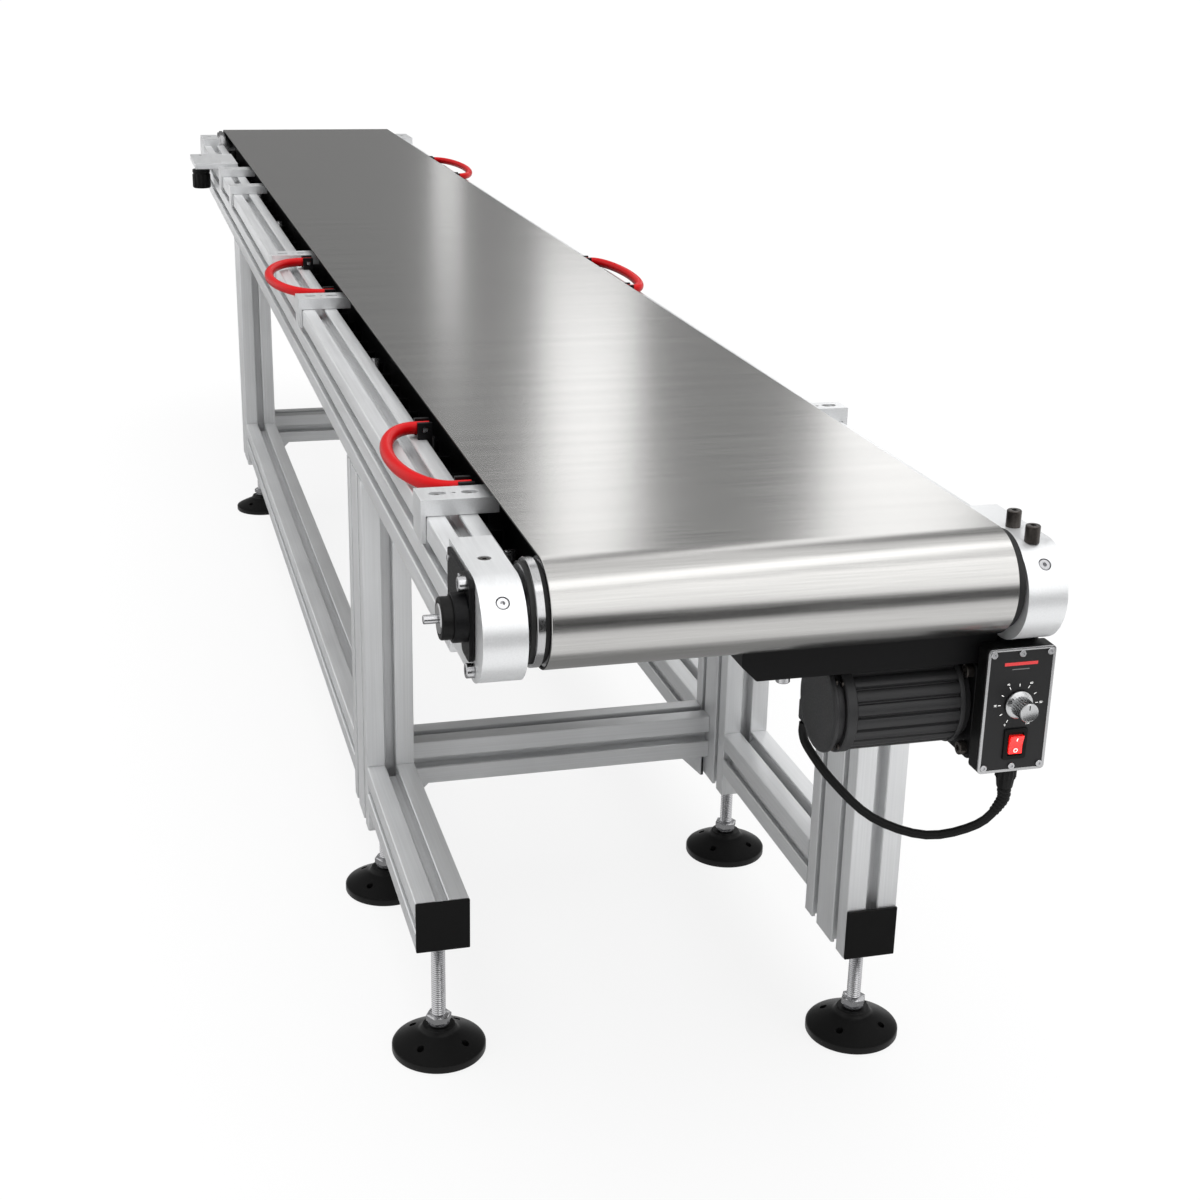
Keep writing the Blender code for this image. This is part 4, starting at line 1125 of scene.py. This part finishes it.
def bracket(name, low, high, node=None):
    """A clamp bracket that fills a box; node is the model's own, where it has one."""
    side = -1 if low.x < 0 else 1
    inner, face = (high.x, low.x) if side < 0 else (low.x, high.x)
    rail_top = box_of("rail_left")[1].z + 0.3
    lip = side * LIP_THICK
    outline = [(inner, rail_top), (face - lip, rail_top), (face - lip, low.z), (face, low.z),
               (face, high.z), (inner, high.z)]
    y = (low.y + high.y) / 2
    reach = abs(face - inner)
    marks = [inner + side * reach * share for share in (0.32, 0.74)]
    cutters = [prism(slot_outline(x, y, 13.0, 8.0), "Z", high.z - SLOT_SUNK, high.z + 2.0)
               for x in marks]
    cutters.append(prism(arc((inner + side * reach * 0.53, y), 1.6, 16), "Z", high.z - 4.0,
                         high.z + 2.0))
    body = solid_mesh(prism(outline, "Y", low.y, high.y), MILLED, bevel=0.5, cutters=cutters)
    screws = copied(SMALL_SCREW, DARK_SCREW, [((x, y, high.z - SLOT_SUNK), UP, RIGHT)
                                              for x in marks])
    place(name, joined_mesh(body, screws), "frame", "aluminium", *([node] if node else []))


for word in ("left_1", "left_2", "left_3", "right_1"):
    bracket(f"bracket_{word}_body", *box_of(f"bracket_{word}"), f"bracket_{word}")
# two more further on, like the third
for word, middle_y in (("left_4", 1896.0), ("left_5", 2112.0)):
    step = Vector((0.0, middle_y - middle_of("bracket_left_3")[1], 0.0))
    bracket(f"bracket_{word}_body", *[corner + step for corner in box_of("bracket_left_3")])

# %% [markdown]
# The long bracket near the tail reaches past the rail and carries a clamp knob below its
# outer end. Two wide slots run across it. The knob is black, fluted all round, with a thin
# stem up through the bracket.

# %% Long bracket and clamp knob
arm_low, arm_high = box_of("bracket_left_arm")
knob_low, knob_high = box_of("clamp_knob")
KNOB_AT = middle_of("clamp_knob", "xy")
arm_cuts = [prism(slot_outline(*place_and_size), "Z", arm_high.z - 4.0, arm_high.z + 2.0)
            for place_and_size in ((-182.0, arm_low.y + 20.0, 24.0, 8.0),
                                   (-176.0, arm_high.y - 18.0, 18.0, 7.0))]
arm_cuts.append(prism(arc(KNOB_AT, 3.4, 24), "Z", arm_low.z - 2.0, arm_high.z + 2.0))
place("long_bracket_body", solid_mesh(block(arm_low, arm_high), MILLED, bevel=0.6,
                                      cutters=arm_cuts), "frame", "aluminium", "bracket_left_arm")


def fluted(centre, radius, depth, lobes, per_lobe=6):
    """A round outline with shallow flutes for the fingers."""
    points = []
    for i in range(lobes * per_lobe):
        sunk = depth * (0.5 - 0.5 * math.cos(2 * math.pi * i / per_lobe))
        points.append(polar(centre, radius - sunk, 2 * math.pi * i / (lobes * per_lobe)))
    return points


knob_top = knob_low.z + 33.0
knob_rings = [(fluted(KNOB_AT, r, d, 12), z) for r, d, z in (
    (9.0, 0.0, knob_low.z), (14.0, 0.6, knob_low.z + 0.6), (15.8, 1.6, knob_low.z + 2.6),
    (15.8, 1.6, knob_top - 9.0), (14.4, 0.0, knob_top - 7.6), (14.4, 0.0, knob_top - 6.4),
    (15.4, 0.0, knob_top - 5.2), (15.4, 0.0, knob_top - 1.2), (14.6, 0.0, knob_top),
    (0.1, 0.0, knob_top))]
stem = turned([(knob_top - 1.0, 3.0), (knob_high.z - 0.5, 3.0), (knob_high.z, 2.5)], "Z",
              KNOB_AT, 24)
place("clamp_knob_grip", joined_mesh(solid_mesh(lofted(knob_rings, "Z"), BLACK_NYLON),
                                     solid_mesh(stem, DARK_SCREW)),
      "clamp_knob", "black_plastic", "clamp_knob")

# %% [markdown]
# Grab handles are red tubes bent to a flat D. Each lies over the rail on two hinge pins
# and swings up. A tube is a section swept along a path, so the tube tree makes it. A
# bright pin goes through each end and its hinge lug.

# %% Grab handles
LEG_IN, LEG_OUT, BEND = 4.5, 3.0, 8.0     # from the hinge: leg ends, and where the oval starts


def handle_path(side, hinge, middle, half, reach, height, steps=40):
    """The bent centre line: a short straight leg, a half oval, a short straight leg."""
    inner, outer = hinge - side * LEG_IN, hinge + side * LEG_OUT
    turns = [math.pi * i / steps for i in range(steps + 1)]
    oval = [(hinge + side * (BEND + (reach - BEND) * math.sin(turn)),
             middle - half * math.cos(turn), height) for turn in turns]
    return ([(inner, middle - half, height), (outer, middle - half, height)] + oval
            + [(outer, middle + half, height), (inner, middle + half, height)])


HANDLE_R, PIN_HALF = 5.2, 9.4
JOINT_AT = {joint["child"]: joint["pos_m"] for joint in frame["joints"] if joint.get("pos_m")}
for node in ("handle_left_near", "handle_left_far", "handle_right_near", "handle_right_far"):
    low, high = box_of(node)
    side = -1 if low.x < 0 else 1
    hinge = (Vector(JOINT_AT[BODY_OF[node]]) - ZERO) / MM
    half = (high.y - low.y) / 2 - PIN_HALF
    reach = (high.x if side > 0 else -low.x) - HANDLE_R - side * hinge.x
    middle = (low.y + high.y) / 2
    line = handle_path(side, hinge.x, middle, half, reach, hinge.z)
    parts = [grow(path_curve("path", [at(*point) for point in line]), TUBE_TREE,
                  Radius=HANDLE_R * MM, Sides=24, Finish=GRIP_RED)]
    for leg_y in (middle - half, middle + half):
        pin = turned([(leg_y - PIN_HALF, 2.1), (leg_y - PIN_HALF + 0.4, 2.5),
                      (leg_y + PIN_HALF - 0.4, 2.5), (leg_y + PIN_HALF, 2.1)], "Y",
                     (hinge.x, hinge.z), 24)
        parts.append(solid_mesh(pin, ZINC))
    place(f"{node}_tube", joined_mesh(*parts), BODY_OF[node], "red_grip", node)

# %% [markdown]
# The open ends of the stand are closed by square nylon caps. Each has soft corners and a
# shallow four-sided dish pressed into its face, whose creases run to the corners.

# %% End caps
def cap(name, node, edge=2.2, dish=0.7):
    """A square cap with a rim that wide and a dish that deep."""
    low, high = box_of(node)
    front, back = low.y, high.y
    bm = bmesh.new()
    outer = [(low.x, low.z), (high.x, low.z), (high.x, high.z), (low.x, high.z)]
    inner = [(low.x + edge, low.z + edge), (high.x - edge, low.z + edge),
             (high.x - edge, high.z - edge), (low.x + edge, high.z - edge)]
    rear = [bm.verts.new((x, back, z)) for x, z in outer]
    face = [bm.verts.new((x, front, z)) for x, z in outer]
    rim = [bm.verts.new((x, front, z)) for x, z in inner]
    centre = bm.verts.new(((low.x + high.x) / 2, front + dish, (low.z + high.z) / 2))
    bm.faces.new(rear)
    for i in range(4):
        j = (i + 1) % 4
        bm.faces.new((rear[i], rear[j], face[j], face[i]))
        bm.faces.new((face[i], face[j], rim[j], rim[i]))
        bm.faces.new((rim[i], rim[j], centre))
    mesh = solid_mesh(bm, BLACK_NYLON, bevel=0.9, segments=3)
    mesh.set_sharp_from_angle(angle=math.radians(2))
    place(name, mesh, "frame", "black_plastic", node)


cap("foot_beam_end_cap", "foot_beam_cap")
cap("front_post_end_cap", "front_post_cap")

# %% [markdown]
# Each of the six levelling feet is a nylon pad with a hollow cone shape, four holes and
# a ribbed collar, and a zinc stud with a real thread, a swivel ball neck, an adjusting nut
# and a lock nut. All six are alike, and each is made at its own pad's place.

# %% Levelling feet
PAD_PROFILE = [(0.0, 36.5), (0.0, 39.2), (1.2, 40.0), (6.2, 40.0), (7.4, 39.2), (8.6, 37.4),
               (10.6, 33.6), (13.2, 28.4), (15.6, 23.4), (17.4, 19.4), (18.8, 17.2),
               (20.4, 15.6), (22.6, 14.4), (23.6, 14.0), (24.0, 13.2), (24.0, 9.0)]
PAD_HOLES, HOLE_RING, HOLE_R = 4, 27.0, 3.1
STUD_INSIDE = 24.0                # how far a stud reaches up into its post
NUT_ACROSS, NUT_FACE = 19.0, 8.9  # across the flats, and the round of its chamfered ends


def pad_solid(centre):
    """The domed pad and the cutters for the holes round its cone."""
    turns = [2 * math.pi * (i + 0.5) / PAD_HOLES for i in range(PAD_HOLES)]
    holes = [prism(arc(polar(centre, HOLE_RING, turn), HOLE_R, 20), "Z", 6.0, 24.0)
             for turn in turns]
    return turned(PAD_PROFILE, "Z", centre, 96), holes


def threads(start, end, pitch=2.0, radius=6.0, depth=0.75):
    """A threaded run as a profile of ridges."""
    profile = []
    for i in range(int((end - start) / pitch)):
        z = start + i * pitch
        profile += [(z, radius - depth), (z + pitch * 0.45, radius), (z + pitch * 0.6, radius)]
    return profile + [(end, radius - depth)]


def foot(word):
    """A pad and its stud with both nuts, each on its own body's box."""
    stud_low, stud_high = box_of(f"foot_stud_{word}")
    centre = middle_of(f"foot_pad_{word}", "xy")
    under = 109.0 if word == "front_left" else box_of("post_near_left")[0].z
    lock = under - 0.3
    bm, holes = pad_solid(centre)
    place(f"foot_pad_{word}_moulding", solid_mesh(bm, BLACK_NYLON, bevel=0.25, cutters=holes),
          BODY_OF[f"foot_pad_{word}"], "black_plastic", f"foot_pad_{word}")
    low = stud_low.z
    neck = turned([(low, 8.4), (low + 1.0, 9.2), (low + 2.0, 9.2), (low + 2.4, 7.2),
                   (low + 3.4, 7.2)], "Z", centre, 40)
    end, washer, flats = [arc(centre, NUT_FACE, 24), arc(centre, 10.6, 24),
                          hexagon(centre, NUT_ACROSS)]
    nut = lofted([(end, low + 3.4), (flats, low + 4.2), (flats, low + 9.2), (end, low + 10.0)], "Z")
    lock_nut = lofted([(end, lock - 8.0), (flats, lock - 7.3), (flats, lock - 1.6),
                       (washer, lock - 1.4), (washer, lock)], "Z")
    stud = turned(threads(low + 9.8, min(stud_high.z, under + STUD_INSIDE)), "Z", centre, 28)
    place(f"foot_stud_{word}_threaded", joined_mesh(
        *[solid_mesh(part, ZINC) for part in (neck, nut, lock_nut, stud)]),
        BODY_OF[f"foot_stud_{word}"], "steel", f"foot_stud_{word}")


for word in ("front_left", "front_right", "near_left", "near_right", "far_left", "far_right"):
    foot(word)

# %% [markdown]
# The motor hangs under the belt. Its shell is an extrusion with twenty long flutes, so
# its outline is a fluted circle pushed along X by the same bar tree as the profiles. The
# ring, the front collar and the rear cover are turned, with screws round them.

# %% Motor
shell_low, shell_high = box_of("motor_housing")
MOTOR_AXIS = middle_of("motor_housing", "yz")
FLUTES, FLUTE_DEPTH, SHELL_R = 20, 2.1, 33.4
LAND_SHARE, LAND_RISE = 0.76, 0.62      # of a flute's pitch, and the land's own highest value


def motor_outline():
    """A circle with narrow round-bottomed flutes between broad, slightly domed lands."""
    lands = [(share * LAND_SHARE, SHELL_R - 0.7 + rise * 0.7 / LAND_RISE) for share, rise in (
        (0.0, 0.0), (0.08, 0.25), (0.3, 0.55), (0.5, 0.62), (0.7, 0.55), (0.92, 0.25))]
    drops = [(share, SHELL_R - 0.5 - FLUTE_DEPTH * drop)
             for share, drop in ((0.79, 0.7), (0.84, 1.0), (0.92, 1.0), (0.97, 0.7))]
    return [polar(MOTOR_AXIS, r, 2 * math.pi * (i + share) / FLUTES)
            for i in range(FLUTES) for share, r in lands + drops]


flute_body = pushed_bar(motor_outline(), "X", 70.0, 149.0, MOTOR_ENAMEL, 40)
ring = turned([(shell_low.x, 29.2), (shell_low.x, 33.6), (shell_low.x + 0.9, 34.5),
               (70.2, 34.5), (71.0, 33.7), (71.0, 29.0)], "X", MOTOR_AXIS, 88)
collar = turned([(148.0, 29.0), (148.0, 34.0), (149.0, 34.4), (151.4, 34.4), (152.2, 33.6),
                 (152.4, 31.6), (shell_high.x, 31.0), (shell_high.x, 6.0)], "X", MOTOR_AXIS, 88)
shell_screws = [((shell_low.x - 0.1, *polar(MOTOR_AXIS, 31.6, math.radians(degrees))), LEFT, UP)
                for degrees in (48, 132, 228, 312)]
place("motor_shell", joined_mesh(
    flute_body, solid_mesh(ring, MOTOR_ENAMEL), solid_mesh(collar, MOTOR_ENAMEL),
    copied(SMALL_SCREW, DARK_SCREW, shell_screws)), "frame", "motor_grey", "motor_housing")

# %% [markdown]
# The rear cover is a shallow dished disc on a short neck. The lead's entry is a small
# block on its far side, low down, open at the bottom for the lead.

# %% Motor rear cover
cover_low, cover_high = box_of("motor_rear_cover")
face_x = cover_low.x
cover = turned([(face_x + 0.5, 0.0), (face_x + 0.5, 27.0), (face_x, 29.5), (face_x, 32.6),
                (face_x + 0.4, 33.5), (face_x + 1.2, 34.0), (face_x + 3.0, 34.0),
                (face_x + 3.6, 33.2), (face_x + 3.8, 30.2), (cover_high.x, 30.0),
                (cover_high.x, 20.0)], "X", MOTOR_AXIS, 96)
entry_y = (lead_line[-1] - ZERO).y / MM
entry = prism(rounded((entry_y - 20.0, 362.0), (cover_high.y, 378.0), 2.0), "X", face_x + 3.7,
              cover_high.x)
place("motor_rear_cover_dish", joined_mesh(
    solid_mesh(cover, MOTOR_ENAMEL), solid_mesh(entry, MOTOR_ENAMEL, bevel=0.8),
    copied(SMALL_SCREW, DARK_SCREW, [((face_x + 3.7, MOTOR_AXIS[0] + y, MOTOR_AXIS[1] + z),
                                      RIGHT, UP) for y, z in ((-20.0, 24.5), (-20.0, -24.5))])),
    "frame", "motor_grey", "motor_rear_cover")

# %% [markdown]
# The gear head, the hanging bar and the drive guard are plain black parts with broken
# edges; what makes them real is their bolts, and the guard's separate lid.

# %% Gear head, bar and guard
head_low, head_high = box_of("gear_head")
head = prism(rounded((head_low.y, head_low.z), (head_high.y, head_high.z), 6.0), "X",
             head_low.x, head_high.x)
head_bolts = [((head_low.x, y, z), LEFT, UP) for y in (head_low.y + 7.5, head_high.y - 7.5)
              for z in (head_low.z + 7.5, head_high.z - 7.5)]
place("gear_head_casting", joined_mesh(solid_mesh(head, BLACK_STEEL, bevel=1.2, segments=3),
                                       copied(SOCKET_BOLT, DARK_SCREW, head_bolts)),
      "frame", "black_steel", "gear_head")
bar_low, bar_high = box_of("motor_bar")
BAR_CUT = 11.0
bar_outline = [(bar_low.x, bar_high.z), (bar_low.x, bar_low.z + BAR_CUT),
               (bar_low.x + BAR_CUT, bar_low.z), (bar_high.x, bar_low.z),
               (bar_high.x, bar_high.z)]
place("motor_bar_milled", joined_mesh(
    solid_mesh(prism(bar_outline, "Y", bar_low.y, bar_high.y), BLACK_STEEL, bevel=1.0, segments=3),
    copied(SOCKET_BOLT, ZINC, [((bar_low.x + 33.0, y, bar_low.z), DOWN, RIGHT)
                               for y in (bar_low.y + 9.0, bar_high.y - 9.0)])),
    "frame", "black_steel", "motor_bar")
guard_low, guard_high = box_of("drive_guard")
guard_body = solid_mesh(block(guard_low, (guard_high.x - 2.6, guard_high.y, guard_high.z)),
                        BLACK_STEEL, bevel=1.0)
lid_outline = rounded((guard_low.y, guard_low.z), (guard_high.y, guard_high.z), 4.0)
guard_lid = solid_mesh(prism(lid_outline, "X", guard_high.x - 2.3, guard_high.x), BLACK_STEEL,
                       bevel=0.6)
lid_screws = [((guard_high.x, y, z), RIGHT, UP) for y in (guard_low.y + 6, guard_high.y - 6)
              for z in (guard_low.z + 6, (guard_low.z + guard_high.z) / 2, guard_high.z - 6)]
place("drive_guard_case", joined_mesh(guard_body, guard_lid,
                                      copied(SMALL_SCREW, ZINC, lid_screws)),
      "frame", "black_steel", "drive_guard")

# %% [markdown]
# The control box has a plastic case and a dark satin panel in a bright frame, held by six
# screws. The scale round the knob is white ink: eleven ticks by the copy tree, and
# plain numbers made from text. A switch bezel sits below. The badge place is left bare
# but for a plain red stripe.

# %% Control box
case_low, case_high = box_of("control_box")
face_low, face_high = box_of("control_face")
case = prism(rounded((case_low.x, case_low.z), (case_high.x, case_high.z), 3.0), "Y",
             case_low.y, case_high.y)
place("control_box_case", solid_mesh(case, BLACK_NYLON, bevel=0.8, segments=3), "frame",
      "black_plastic", "control_box")
RIM, SCREW_IN, PANEL_Y = 2.1, 4.2, face_low.y + 0.5
rim_outer = rounded((face_low.x, face_low.z), (face_high.x, face_high.z), 3.0)
rim_inner = rounded((face_low.x + RIM, face_low.z + RIM), (face_high.x - RIM, face_high.z - RIM),
                    1.2)
rim_mesh = solid_mesh(frame_of(rim_outer, rim_inner, "Y", face_low.y, face_high.y), STAINLESS,
                      bevel=0.3)
panel_outline = rounded((face_low.x + RIM - 0.1, face_low.z + RIM - 0.1),
                        (face_high.x - RIM + 0.1, face_high.z - RIM + 0.1), 1.2)
panel_mesh = solid_mesh(prism(panel_outline, "Y", PANEL_Y, face_high.y), PANEL_BLACK)
DIAL, SWITCH = middle_of("speed_knob"), middle_of("power_rocker")
middle_x = (face_low.x + face_high.x) / 2
panel_screws = [((x, PANEL_Y, z), NEAR, UP)
                for z in (face_low.z + SCREW_IN, face_high.z - SCREW_IN)
                for x in (face_low.x + SCREW_IN, middle_x, face_high.x - SCREW_IN)]
bezel_lines = [rounded((SWITCH[0] - wide, SWITCH[2] - tall), (SWITCH[0] + wide, SWITCH[2] + tall),
                       radius) for wide, tall, radius in ((8.8, 11.5, 1.2), (5.7, 8.5, 0.6))]
bezel = frame_of(*bezel_lines, "Y", PANEL_Y - 1.5, PANEL_Y + 0.2)
TICKS, SWEEP, TICK_R, NUMBER_R, NUMBER_HIGH = 11, 300.0, 14.2, 17.4, 2.2
tick = small_part(block((-1.0, -0.22, -0.05), (1.0, 0.22, 0.06)))
dial_turns = [math.radians(90 + SWEEP / 2 - SWEEP * i / (TICKS - 1)) for i in range(TICKS)]
tick_spots = []
for turn in dial_turns:
    x, z = polar((DIAL[0], DIAL[2]), TICK_R, turn)
    tick_spots.append(((x, PANEL_Y - 0.04, z), NEAR, (math.cos(turn), 0.0, math.sin(turn))))
ticks = copied(tick, WHITE_INK, tick_spots)


def lettering(text, x, z):
    """Flat characters on the panel, centred at a point."""
    curve = bpy.data.curves.new("lettering", "FONT")
    curve.body, curve.size, curve.extrude = text, NUMBER_HIGH * MM, 0.05 * MM
    curve.align_x, curve.align_y = "CENTER", "CENTER"
    made = bpy.data.objects.new("lettering", curve)
    SCENE.objects.link(made)
    mesh = baked(made)
    upright_turn = Matrix.Rotation(math.pi / 2, 4, "X")
    mesh.transform(Matrix.Translation(at(x, PANEL_Y - 0.06, z)) @ upright_turn)
    mesh.materials.clear()
    mesh.materials.append(WHITE_INK)
    return mesh


numbers = [lettering(str(i * 10), *polar((DIAL[0], DIAL[2]), NUMBER_R, dial_turns[i]))
           for i in range(0, TICKS, 2)]
# the red stripe and the fine grey rule under it
stripes = [solid_mesh(prism(rounded((middle_x - half, face_high.z - low),
                                    (middle_x + half, face_high.z - high), radius), "Y",
                            PANEL_Y - 0.08, PANEL_Y + 0.02), ink)
           for half, low, high, radius, ink in ((12.5, 13.0, 10.6, 0.3, RED_INK),
                                                (6.5, 16.2, 15.5, 0.2, GREY_INK))]
place("control_panel", joined_mesh(
    panel_mesh, rim_mesh, solid_mesh(bezel, BLACK_NYLON, bevel=0.35),
    copied(SMALL_SCREW, ZINC, panel_screws), ticks, *stripes, *numbers),
    "frame", "black_plastic", "control_face")

# %% [markdown]
# The knob is turned aluminium with a fluted grip and a bright cap, and the rocker is a
# red piece with a shallow V front, pressed in at the bottom. Each rides on its own body,
# so it turns or tips by itself. The rocker's two marks are the usual line and ring.

# %% Speed knob and rocker
knob_front, knob_back = [corner.y for corner in box_of("speed_knob")]
skirt = face_low.y - 0.3
knob_rings = [(fluted((DIAL[0], DIAL[2]), r, d, 24, 4), y) for y, r, d in (
    (knob_back, 3.2, 0.0), (skirt - 0.05, 3.2, 0.0), (skirt, 9.6, 0.0), (skirt - 0.4, 10.2, 0.0),
    (skirt - 1.5, 10.2, 0.0), (skirt - 2.1, 9.6, 0.0), (skirt - 2.6, 7.9, 0.0),
    (skirt - 3.0, 7.4, 0.45), (knob_front + 2.2, 7.0, 0.45), (knob_front + 1.6, 7.0, 0.0),
    (knob_front + 0.5, 6.8, 0.0), (knob_front, 6.3, 0.0), (knob_front + 0.25, 5.6, 0.0),
    (knob_front + 0.25, 0.05, 0.0))]
pointer = block((DIAL[0] - 0.35, knob_front + 0.1, DIAL[2] + 2.2),
                (DIAL[0] + 0.35, knob_front + 0.4, DIAL[2] + 5.4))
place("speed_knob_turned", joined_mesh(
    solid_mesh(lofted(knob_rings, "Y"), TURNED_ALUMINIUM), solid_mesh(pointer, PANEL_BLACK)),
    "speed_knob", "steel", "speed_knob")

ROCKER_PIVOT, ROCKER_TILT = (-16.5, 373.2), math.radians(8.0)


def tipped(points):
    """Turns side-view points of the rocker to its pressed-in rest."""
    return [(ROCKER_PIVOT[0] + y * math.cos(ROCKER_TILT) - z * math.sin(ROCKER_TILT),
             ROCKER_PIVOT[1] + y * math.sin(ROCKER_TILT) + z * math.cos(ROCKER_TILT))
            for y, z in points]


rocker_side = tipped([(-7.0, -7.2), (-6.2, -3.6), (-5.9, 0.0), (-6.2, 3.6), (-7.0, 7.2),
                      (1.0, 5.4), (1.0, -5.4)])
rocker_mesh = solid_mesh(prism(rocker_side, "X", SWITCH[0] - 5.2, SWITCH[0] + 5.2), ROCKER_RED,
                         bevel=0.5, segments=3)
line_side = tipped([(-6.6, 3.0), (-6.95, 5.6), (-6.3, 5.6), (-6.0, 3.0)])
bands = []
for radius, y_face in ((1.6, -6.75), (1.1, -6.75), (1.1, -6.1), (1.6, -6.1)):
    bands.append([(x, *tipped([(y_face, z)])[0]) for x, z in arc((SWITCH[0], -4.4), radius, 24)])
ring_mark = skinned(bands, closed=True)
place("power_rocker_cap", joined_mesh(
    rocker_mesh, solid_mesh(prism(line_side, "X", SWITCH[0] - 0.35, SWITCH[0] + 0.35), WHITE_INK),
    solid_mesh(ring_mark, WHITE_INK)), "power_rocker", "red_grip", "power_rocker")

# %% [markdown]
# The gland clamps the lead where it leaves the box: a ribbed nut, then a tapered sleeve
# that follows the lead's own line for its first 22 mm, so that the cord never kinks.

# %% Cable gland and strain relief
gland_low, gland_high = box_of("cable_gland")
gland_at = middle_of("cable_gland", "xy")
gland_rings = [(fluted(gland_at, r, d, 14, 4), z) for z, r, d in (
    (gland_high.z, 7.4, 0.0), (gland_high.z - 1.6, 7.4, 0.0), (gland_high.z - 1.8, 7.6, 0.7),
    (gland_high.z - 8.6, 7.6, 0.7), (gland_high.z - 9.6, 6.6, 0.3), (gland_low.z + 1.0, 5.8, 0.0),
    (gland_low.z, 5.4, 0.0))]


def sleeve(points, radii, sides=24):
    """A round sleeve along a path, in world metres, with a radius at each point."""
    rows = []
    for i, point in enumerate(points):
        ahead = (points[min(i + 1, len(points) - 1)] - points[max(i - 1, 0)]).normalized()
        side = ahead.cross(Vector((0, 1, 0))).normalized()
        other = ahead.cross(side)
        rows.append([point + (side * math.cos(2 * math.pi * k / sides)
                              + other * math.sin(2 * math.pi * k / sides)) * radii[i]
                     for k in range(sides)])
    bm = skinned(rows)
    bmesh.ops.recalc_face_normals(bm, faces=bm.faces)
    mesh = bpy.data.meshes.new("sleeve")
    bm.to_mesh(mesh)
    bm.free()
    return shaded(mesh, 40)


def along_line(points, length, steps):
    """Evenly spaced points over the first stretch of a line."""
    found, walked, i = [points[0]], 0.0, 0
    for step in range(1, steps + 1):
        target = length * step / steps
        while walked + (points[i + 1] - points[i]).length < target:
            walked += (points[i + 1] - points[i]).length
            i += 1
        share = (target - walked) / (points[i + 1] - points[i]).length
        found.append(points[i].lerp(points[i + 1], share))
    return found


RELIEF_STEPS = 22
RELIEF_LENGTH = 0.022
relief_points = along_line(lead_line, RELIEF_LENGTH, RELIEF_STEPS)
relief_radii = [(5.2 - 1.5 * i / RELIEF_STEPS - (0.5 if i % 3 == 1 else 0.0)) * MM
                for i in range(RELIEF_STEPS + 1)]
relief = sleeve(relief_points, relief_radii)
relief.materials.append(SHEATH)
place("lead_gland_and_sleeve", joined_mesh(solid_mesh(lofted(gland_rings, "Z"), BLACK_NYLON),
                                           relief), "frame", "black_plastic", "cable_gland")

# %% [markdown]
# The stand is bolted together with cast corner brackets. Each has two legs at a right
# angle, a thin web at each edge and a bolt. They sit under the cross beams, beside the
# posts.

# %% Corner brackets and joint bolts
LEG, PLATE, WIDE, WEB, BOLT_OUT = 26.0, 3.0, 20.0, 2.4, 15.0


def corner_bracket(x, y, z, out):
    """Legs out along X and down from a corner, with a web at each edge; out is +1 or -1."""
    legs = [(x, z), (x + out * LEG, z), (x + out * LEG, z - PLATE),
            (x + out * PLATE, z - PLATE), (x + out * PLATE, z - LEG), (x, z - LEG)]
    skin = [(x + out * 0.2, z - 0.2), (x + out * LEG, z - 0.2), (x + out * LEG, z - PLATE),
            (x + out * PLATE, z - LEG), (x + out * 0.2, z - LEG)]
    return [solid_mesh(prism(outline, "Y", middle - wide / 2, middle + wide / 2), MILLED,
                       bevel=bevel)
            for outline, middle, wide, bevel in (
                (legs, y, WIDE, 0.4), (skin, y - (WIDE - WEB) / 2, WEB, 0.3),
                (skin, y + (WIDE - WEB) / 2, WEB, 0.3))]


bracket_meshes, bolt_spots = [], []
for word in ("near", "far"):
    low, high = box_of(f"crossbeam_{word}")
    y = (low.y + high.y) / 2
    for inner_x, out in ((box_of(f"post_{word}_left")[1].x, 1),
                         (box_of(f"post_{word}_right")[0].x, -1)):
        bracket_meshes += corner_bracket(inner_x, y, low.z, out)
        bolt_spots.append(((inner_x + out * BOLT_OUT, y, low.z - PLATE), DOWN, RIGHT))
place("corner_brackets", joined_mesh(*bracket_meshes, copied(M6_BOLT, ZINC, bolt_spots)),
      "frame", "aluminium")

# %% [markdown]
# The small parts that were copied are no longer needed: each was made once, and its copies
# are now plain meshes of their own.

# %% Tools are put away
small_parts = [item for item in bpy.data.objects if item.name.startswith("small_part")]
print("small parts put away:", len(small_parts))
for item in small_parts:
    bpy.data.objects.remove(item, do_unlink=True)

# %% The scene is brought up to date
bpy.context.view_layer.update()
